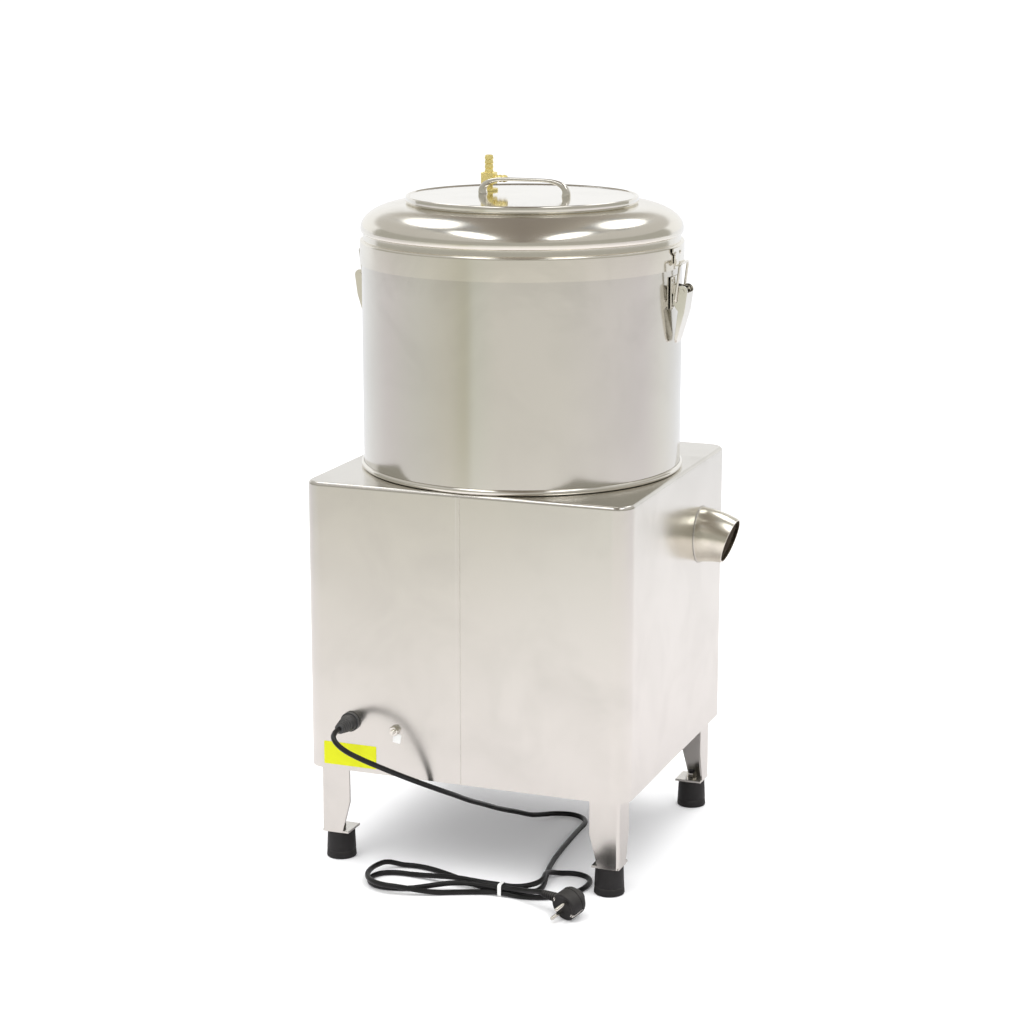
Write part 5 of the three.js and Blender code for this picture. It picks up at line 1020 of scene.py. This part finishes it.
button_radius, button_proud, cap_round = 0.011, panel_low.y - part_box("start_button")[0].y, 0.0018
collar_radius, post_radius = button_radius + 0.0015, button_radius - 0.002
cap_profile = [(0, button_proud - 0.0012), (0.0055, button_proud - 0.001), (0.0078, button_proud - 0.0004),
               *arc(button_radius - cap_round, button_proud - cap_round, cap_round, cap_round, 80, 0, 8),
               (button_radius, -0.0034), (collar_radius, -0.0034), (collar_radius, -0.0063),
               (post_radius, -0.0063), (post_radius, -0.0139), (0, -0.0139)]
bezel_profile = [(0.0118, 0.0002), (0.0152, 0.0002), (0.0152, 0.0009), (0.0146, 0.0016), (0.0122, 0.0024),
                 (0.0118, 0.0021)]
for body, finish in (("start", "green_plastic"), ("stop", "red_plastic")):
    stand = on_panel(*face_middle(f"{body}_button"))
    cap = turned(f"{body}_cap", cap_profile, finish, stand, 72)
    dressed(cap, body, finish, f"{body}_button")
    bezel = turned(f"{body}_bezel", bezel_profile, "polished_steel", stand, 72)
    dressed(bezel, "machine", "polished_steel")
print("buttons stand", round(button_proud, 4), "m proud")

# %% Turn the knob
low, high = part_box("timer_knob")
knob_stand = on_panel(*face_middle("timer_knob"))
knob_radius, knob_height, half_grip = (high.x - low.x) / 2, panel_low.y - low.y, 0.0033
skirt_profile = [(0, -0.014), (0.0038, -0.014), (0.0038, 0.0004), (knob_radius - 0.0004, 0.0004),
                 (knob_radius, 0.0008), (knob_radius, 0.003), (knob_radius - 0.0006, 0.0038),
                 *arc(knob_radius - 0.005, 0.0088, 0.0022, 0.0022, 0, 90, 6), (0, 0.011)]
grip = block_of("timer_grip", (-half_grip, -knob_radius + 0.0032, 0.004),
                (half_grip, knob_radius - 0.0032, knob_height), "black_plastic", knob_stand, 0.0012)
pointer = block_of("timer_pointer", (-0.0006, 0.004, knob_height - 0.0006),
                   (0.0006, knob_radius - 0.0045, knob_height + 0.0001), "white_plastic", knob_stand, 0.0001)
skirt = turned("timer_skirt", skirt_profile, "black_plastic", knob_stand, 96)
for part in (skirt, grip, pointer):
    dressed(part, "timer", "black_plastic")
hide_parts("timer_knob")
print("knob", round(2 * knob_radius, 4), "m across")

# %% Dial ticks
dial_radius, half_tick, tick_step = knob_radius + 0.0022, 0.00045, 30
for k in range(11):
    tick_length = 0.0055 if k % 5 == 0 else 0.0035
    turn = knob_stand @ Matrix.Rotation(math.radians(-tick_step * k), 4, "Z")
    tick = block_of(f"dial_tick_{k}", (-half_tick, dial_radius, 0.00005),
                    (half_tick, dial_radius + tick_length, 0.0002), "white_plastic", turn, 0.00004)
    dressed(tick, "machine", "white_plastic")
print("ticks over", 10 * tick_step, "degrees")

# %% Screws of the box
screw_inset = 0.0085
screw_profile = [(0, 0.0001), (0.0032, 0.0001), (0.0032, 0.0007), (0.0026, 0.0016), (0.0014, 0.0021),
                 (0, 0.0022)]
screw_places = [(x, z) for z in (panel_low.z + screw_inset, panel_high.z - screw_inset)
                for x in (panel_low.x + screw_inset, panel_high.x - screw_inset)]
for k, (x, z) in enumerate(screw_places):
    stand = on_panel(x, z)
    screw = turned(f"box_screw_{k}", screw_profile, "polished_steel", stand, 32)
    cross = []
    for slot_turn in (20 + 31 * k, 110 + 31 * k):
        slot = box_cutter((-0.0019, -0.00035, 0.0012), (0.0019, 0.00035, 0.003))
        slot.data.transform(stand @ Matrix.Rotation(math.radians(slot_turn), 4, "Z"))
        cross.append(slot)
    dressed(carved(screw, cross), "machine", "polished_steel")
print(len(screw_places), "screws")

# %% [markdown]
# ## Plug and tie
# The angled earthed plug lies on its side, with two nickel pins and an earth clip on each flank. Its body is
# moulded round, so it is turned, and two notches for the clips are cut into it. The tie is a flat ring that
# is skinned round the four strands of the hank.

# %% Mould the plug
plug_turn = (Matrix.Translation(at(-0.174, 0.285, 0.0215)) @ Matrix.Rotation(math.radians(-22), 4, "Z")
             @ Matrix.Rotation(math.radians(-90 - 12.7), 4, "X"))
plug_radius, face, plug_length, plug_rear, roll = 0.0188, 0.014, 0.034, 0.012, math.radians(57)
rear, face_round = face - plug_length, 0.0022
waist = rear + plug_rear
plug_profile = [
    (0, rear), (plug_radius - plug_rear, rear), (plug_radius - plug_rear + 0.0012, rear + 0.0003),
    (plug_radius - 0.0014, waist - 0.0022), (plug_radius - 0.0002, waist + 0.0006),
    (plug_radius, waist + 0.002), (plug_radius, waist + 0.0045), (plug_radius - 0.0006, waist + 0.0049),
    (plug_radius - 0.0006, waist + 0.0057), (plug_radius, waist + 0.0061), (plug_radius, face - 0.003),
    *arc(plug_radius - face_round, face - face_round, face_round, face_round, 0, 90, 5)[1:],
    (plug_radius - 0.0034, face), (plug_radius - 0.0042, face - 0.0006), (0, face - 0.0006)]
moulding = turned("moulded_plug", plug_profile, "black_rubber", plug_turn, 96)
flanks = [plug_turn @ Matrix.Rotation(roll + math.pi / 2 + k * math.pi, 4, "Z") for k in (0, 1)]
notches = []
for flank in flanks:
    notch = box_cutter((plug_radius - 0.0024, -0.0038, waist), (plug_radius + 0.004, 0.0038, face + 0.003))
    notch.data.transform(flank)
    notches.append(notch)
carved(moulding, notches, 40)
print("plug", round(2 * plug_radius, 4), "m across and", plug_length, "m deep")

# %% Mould its neck
neck_profile = [(0, 0), (0.0085, 0.0), (0.0082, 0.013), (0.0072, 0.0185), (0.0068, 0.0205)]
for i in range(6):
    z = 0.0215 + i * 0.0038
    r = 0.0066 - i * 0.00032
    neck_profile += [(r, z), (r, z + 0.002), (r - 0.0012, z + 0.0025), (r - 0.0012, z + 0.0034)]
neck_profile += [(0.0046, 0.0448), (0.0044, 0.046), (0, 0.046)]
neck = turned("plug_neck", neck_profile, "black_rubber", plug_turn @ Matrix.Rotation(math.pi / 2, 4, "Y"), 56)
print("neck with", len(neck_profile), "profile points")

# %% Pins and clips
pin_radius, pin_aside = 0.0024, 0.0095
pin_profile = [(0, face - 0.003), (pin_radius, face - 0.003), (pin_radius, face + 0.0172),
               (0.0019, face + 0.0184), (0.001, face + 0.019), (0, face + 0.019)]
collar_profile = [(pin_radius, face - 0.001), (0.0034, face - 0.001), (0.0034, face + 0.0002),
                  (pin_radius, face + 0.0006)]
clip_path = [(plug_radius - 0.0019, waist + 0.0008), (plug_radius - 0.0016, waist + 0.008),
             (plug_radius - 0.0012, face - 0.004), (plug_radius - 0.0018, face - 0.0008),
             (plug_radius - 0.0045, face + 0.0003)]
half_clip, clip_sheet = 0.0022, 0.0006
clip_section = ((0, -half_clip), (clip_sheet, -half_clip), (clip_sheet, half_clip), (0, half_clip))
contacts = []
for k, way in enumerate((-1, 1)):
    pin_at = Vector((way * pin_aside * math.cos(roll), way * pin_aside * math.sin(roll), 0))
    pin_turn = plug_turn @ Matrix.Translation(pin_at)
    contacts.append(turned(f"plug_pin_{k}", pin_profile, "polished_steel", pin_turn, 32))
    contacts.append(turned(f"plug_pin_collar_{k}", collar_profile, "black_rubber", pin_turn, 32))
for k, flank in enumerate(flanks):
    rings = [[flank @ Vector((x + out, y, z)) for out, y in clip_section] for x, z in clip_path]
    contacts.append(skinned(f"earth_clip_{k}", rings, "polished_steel"))
for part in (moulding, neck, *contacts):
    dressed(part, "machine", "black_rubber")
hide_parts("plug_body")
print(len(contacts), "small pieces on the plug")

# %% Tie the hank
tie_half = hank["pitch"] + cord_radius + fit
tie_high = (levels["high"] - levels["low"]) / 2 + cord_radius + fit
tie_wall, half_width, tie_bend, tie_edge = 0.0007, 0.0025, 0.003, 0.0003
tie_level = (levels["high"] + levels["low"]) / 2


def tie_ring(out, x):
    """A ring round the four strands in a plane across X."""
    shape = round_rectangle(tie_half - tie_bend, tie_high - tie_bend, tie_bend + out, 6)
    return [at(hank["x"] + x, hank["y"] + y, tie_level + z) for y, z in shape]


tie_rings = [tie_ring(tie_wall * 0.8, -half_width), tie_ring(tie_wall, tie_edge - half_width),
             tie_ring(tie_wall, half_width - tie_edge), tie_ring(tie_wall * 0.8, half_width),
             tie_ring(0.0, half_width), tie_ring(0.0, -half_width)]
tie = skinned("wire_tie", tie_rings, "white_plastic", closed=True)
dressed(tie, "machine", "white_plastic", "cord_tie")
print("tie", round(2 * tie_half, 4), "by", round(2 * tie_high, 4))

# %% [markdown]
# ## Stage and light
# The floor is plain white and the light is plain and soft. Bright steel is a mirror, so the stage also has
# what a studio has round it: dim walls, a dim ceiling and a floor whose tone changes round the machine, all
# seen only in reflections. Four lamps hang overhead. Blender's lamps would show in steel as flat shapes, so
# they are hidden from it, and a sheet with a faded edge hangs in each one's place as a soft box.


# %% Helpers for the stage
def stage_sheet(name, corners, material, reflections_only=True):
    """A flat piece of the stage, which only reflections show unless it is told otherwise."""
    mesh = bpy.data.meshes.new(name)
    mesh.from_pydata([tuple(c) for c in corners], [], [tuple(range(len(corners)))])
    piece = bpy.data.objects.new(name, mesh)
    bpy.context.scene.collection.objects.link(piece)
    piece.data.materials.append(material)
    if reflections_only:
        piece.visible_camera = False
        piece.visible_diffuse = False
        piece.visible_shadow = False
    return piece


def glow_finish(name, colour, strength=1.0):
    """A plain glow of one strength."""
    material = bpy.data.materials.new(name)
    material.use_nodes = True
    tree = material.node_tree
    tree.nodes.clear()
    glow = add_node(tree, "ShaderNodeEmission", {"Color": (*colour, 1), "Strength": strength})
    tree.links.new(glow.outputs[0], tree.nodes.new("ShaderNodeOutputMaterial").inputs["Surface"])
    return material


def fill_ramp(ramp, tones):
    """Sets the stops of a colour ramp from pairs of a place and a colour."""
    for index, (share, tone) in enumerate(tones):
        stop = ramp.elements[index] if index < 2 else ramp.elements.new(share)
        stop.position = share
        stop.color = (*tone, 1)


# %% How the floor looks in steel
toward_camera = math.atan2(back.y, back.x)
floor_finish = bpy.data.materials.new("white_floor")
floor_finish.use_nodes = True
tree = floor_finish.node_tree
tree.nodes.clear()
place = place_on_piece(tree)
parts = add_node(tree, "ShaderNodeSeparateXYZ", {0: place}).outputs
away = add_node(tree, "ShaderNodeVectorMath", {0: place}, operation="LENGTH").outputs["Value"]
turn_of = math_step(tree, "ARCTAN2", parts["Y"], parts["X"])
round_share = ranged(tree, turn_of, -math.pi, math.pi, 0.0, 1.0)
round_ramp = add_node(tree, "ShaderNodeValToRGB", {"Fac": round_share})
# Degrees from the camera's direction, and the tone there: a studio floor under uneven light
far_tones = [(-180, (0.72, 0.73, 0.75)), (-142, (0.69, 0.7, 0.71)), (-109, (0.585, 0.563, 0.572)),
             (-77, (0.542, 0.537, 0.504)), (-52, (0.515, 0.498, 0.44)), (-42, (0.46, 0.45, 0.37)),
             (-38, (0.46, 0.45, 0.37)), (-34, (0.554, 0.558, 0.504)), (-16, (0.595, 0.578, 0.537)),
             (26, (0.602, 0.585, 0.551)), (93, (0.609, 0.585, 0.602)), (117, (0.682, 0.68, 0.67)),
             (144, (0.7, 0.71, 0.73)), (180, (0.72, 0.73, 0.75))]
fill_ramp(round_ramp.color_ramp, [((degrees + 180) / 360, tone) for degrees, tone in far_tones])
near_tone, seen_tone = (0.68, 0.655, 0.665, 1), (0.9, 0.9, 0.9, 1)
far_share = ranged(tree, away, 0.6, 3.2, 0.0, 1.0)
gain = ranged(tree, away, 2.6, 5.4, 0.94, 1.22)
gained = add_node(tree, "ShaderNodeVectorMath", {0: round_ramp.outputs[0], "Scale": gain}, operation="SCALE")
in_steel = mixed(tree, far_share, near_tone, gained.outputs[0])
rays = add_node(tree, "ShaderNodeLightPath").outputs
floor_tone = mixed(tree, rays["Is Glossy Ray"], seen_tone, in_steel)
matt = add_node(tree, "ShaderNodeBsdfDiffuse", {"Color": floor_tone})
# A little glow that only the camera sees keeps the shadow pale
paler = math_step(tree, "MULTIPLY", rays["Is Camera Ray"], 0.12)
glow = add_node(tree, "ShaderNodeEmission", {"Color": (1, 1, 1, 1), "Strength": paler})
both = add_node(tree, "ShaderNodeAddShader", {0: matt.outputs[0], 1: glow.outputs[0]})
tree.links.new(both.outputs[0], tree.nodes.new("ShaderNodeOutputMaterial").inputs["Surface"])
print("floor in", len(far_tones), "tones round the machine")

# %% Floor, walls and ceiling
square = ((-1, -1), (1, -1), (1, 1), (-1, 1))
floor_half, floor_level = 120.0, -0.0002
floor = stage_sheet("floor", [(x * floor_half, y * floor_half, 0) for x, y in square], floor_finish, False)
floor.location = middle + Vector((0, 0, floor_level))
floor.rotation_euler.z = toward_camera
room_radius, room_height, wall_foot, wall_reach, wall_count = 7.0, 3.4, 0.05, 128, 16


def room_point(degrees, z):
    """A place on the studio's round wall, at an angle from the camera's direction."""
    a = toward_camera + math.radians(degrees)
    return middle + Vector((room_radius * math.cos(a), room_radius * math.sin(a), z))


dim_wall = glow_finish("dim_wall", (0.45, 0.44, 0.4))
wall_turns = [2 * wall_reach * k / wall_count - wall_reach for k in range(wall_count + 1)]
for i, (a, b) in enumerate(zip(wall_turns, wall_turns[1:])):
    corners = [room_point(a, wall_foot), room_point(b, wall_foot), room_point(b, room_height),
               room_point(a, room_height)]
    stage_sheet(f"room_wall_{i}", corners, dim_wall)

dim_ceiling = glow_finish("dim_ceiling", (0.3, 0.3, 0.3))
tree = dim_ceiling.node_tree
across = add_node(tree, "ShaderNodeSeparateXYZ", {0: place_on_piece(tree)}).outputs["Y"]
quarter = math_step(tree, "MULTIPLY", math_step(tree, "ABSOLUTE", across), 0.25)
side_ramp = add_node(tree, "ShaderNodeValToRGB", {"Fac": quarter})
fill_ramp(side_ramp.color_ramp, [(0.0, (0.26, 0.23, 0.2)), (0.1, (0.3, 0.27, 0.235)),
                                 (0.22, (0.42, 0.39, 0.34)), (0.5, (0.6, 0.58, 0.55))])
tree.links.new(side_ramp.outputs[0], tree.nodes["Emission"].inputs["Color"])
ceiling_rim = [room_point(360 * k / 32, room_height) - middle for k in range(32)]
ceiling = stage_sheet("room_ceiling", ceiling_rim, dim_ceiling)
ceiling.data.transform(Matrix.Rotation(-toward_camera, 4, "Z"))
ceiling.location = middle
ceiling.rotation_euler.z = toward_camera
print("room", 2 * room_radius, "m wide and", room_height, "m high")

# %% The soft boxes that steel sees
level_back = Vector((back.x, back.y, 0)).normalized()
lamp_height = 2.9
# Aside to the left, away towards the camera, width, depth, power
lamp_stands = {"near_left": (1.08, 1.2, 0.95, 2.9, 30.0), "near_right": (-1.06, 1.35, 0.95, 2.9, 30.0),
               "far_left": (1.04, -1.6, 1.1, 2.5, 24.0), "far_right": (-1.28, -1.6, 1.1, 2.5, 24.0)}


def lamp_place(name):
    """Where a lamp hangs over the machine."""
    to_left, to_camera = lamp_stands[name][:2]
    return middle + left * to_left + level_back * to_camera + Vector((0, 0, lamp_height))


soft_box = glow_finish("soft_box", (1, 1, 1))
tree = soft_box.node_tree
on_sheet = add_node(tree, "ShaderNodeTexCoord").outputs["UV"]
from_middle = add_node(tree, "ShaderNodeVectorMath", {0: on_sheet, 1: (0.5, 0.5, 0)}, operation="DISTANCE")
fade = ranged(tree, from_middle.outputs["Value"], 0.28, 0.5, 3.0, 0.35, interpolation_type="SMOOTHSTEP")
tree.links.new(fade, tree.nodes["Emission"].inputs["Strength"])
for name, (_, _, wide, deep, _) in lamp_stands.items():
    stand = lamp_place(name)
    corners = [stand + left * wide / 2 * x + level_back * deep / 2 * y for x, y in square]
    box = stage_sheet(f"soft_box_{name}", corners, soft_box)
    layer = box.data.uv_layers.new(name="UVMap")
    for corner_of, uv in zip(layer.data, ((0, 0), (1, 0), (1, 1), (0, 1))):
        corner_of.uv = uv
print(len(lamp_stands), "soft boxes at", lamp_height, "m")


# %% Lamps
def panel_lamp(name, place, aim, size, power):
    """A soft lamp that looks at a place."""
    lamp = bpy.data.lights.new(name, "AREA")
    lamp.shape = "ELLIPSE"
    lamp.size, lamp.size_y = size
    lamp.energy = power
    holder = bpy.data.objects.new(name, lamp)
    holder.location = place
    holder.rotation_mode = "QUATERNION"
    holder.rotation_quaternion = (aim - place).to_track_quat("-Z", "Y")
    bpy.context.scene.collection.objects.link(holder)
    holder.visible_camera = False
    holder.visible_glossy = False


lamp_aim = middle + Vector((0, 0, 0.6))
for name, (_, _, wide, deep, power) in lamp_stands.items():
    panel_lamp(name, lamp_place(name), lamp_aim, (wide, deep), power)
print("lamps:", ", ".join(lamp_stands))

# %% World
world = bpy.data.worlds.new("studio")
bpy.context.scene.world = world
world.use_nodes = True
tree = world.node_tree
tree.nodes.clear()
rays = add_node(tree, "ShaderNodeLightPath").outputs
straight = math_step(tree, "ADD", rays["Is Camera Ray"], rays["Is Glossy Ray"])
straight = math_step(tree, "ADD", straight, rays["Is Transmission Ray"], use_clamp=True)
ambient = add_node(tree, "ShaderNodeBackground", {"Color": (0.99, 0.99, 1.0, 1), "Strength": 1.12})
white = add_node(tree, "ShaderNodeBackground", {"Color": (1, 1, 1, 1), "Strength": 1.0})
blend = add_node(tree, "ShaderNodeMixShader", {0: straight, 1: ambient.outputs[0], 2: white.outputs[0]})
tree.links.new(blend.outputs[0], tree.nodes.new("ShaderNodeOutputWorld").inputs["Surface"])
bpy.context.scene.view_settings.view_transform = "Standard"
print("world set, view transform", bpy.context.scene.view_settings.view_transform)

# %% [markdown]
# ## The nodes that stay
# Brackets, castings, shafts, levers and the door are right as they are. They get their finish by slot, and
# a chain of modifiers: weld the facets, merge what is flat, round the edges a little and even the shading.
# Modifiers keep the frame's own shape underneath, which a mesh made again would not.

# %% Finish the frame's own nodes
plain_round = 0.0005
edge_round = {"polished_steel": 0.0003, "galvanised_steel": 0.0004, "cast_aluminium": 0.0012,
              "motor_iron": 0.001}
slots = {part["node"]: part["material_slot"] for part in frame["record"]["subparts"]}
for name, piece in frame["nodes"].items():
    piece.data.materials.clear()
    piece.data.materials.append(finishes[slots[name]])
    if piece.hide_render:
        continue
    piece.data.polygons.foreach_set("use_smooth", [True] * len(piece.data.polygons))
    piece.modifiers.new("weld", "WELD").merge_threshold = 1e-5
    merge = piece.modifiers.new("merge", "DECIMATE")
    merge.decimate_type = "DISSOLVE"
    merge.angle_limit = math.radians(0.5)
    bevel = piece.modifiers.new("round", "BEVEL")
    bevel.width = edge_round.get(slots[name], plain_round)
    bevel.segments = 2
    bevel.limit_method = "ANGLE"
    bevel.angle_limit = math.radians(40)
    even_normals(piece)
print("kept nodes:", sum(not piece.hide_render for piece in frame["nodes"].values()))

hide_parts("cord_lead", "cord_hank", "cord_tail")
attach(supply_cord, "machine")
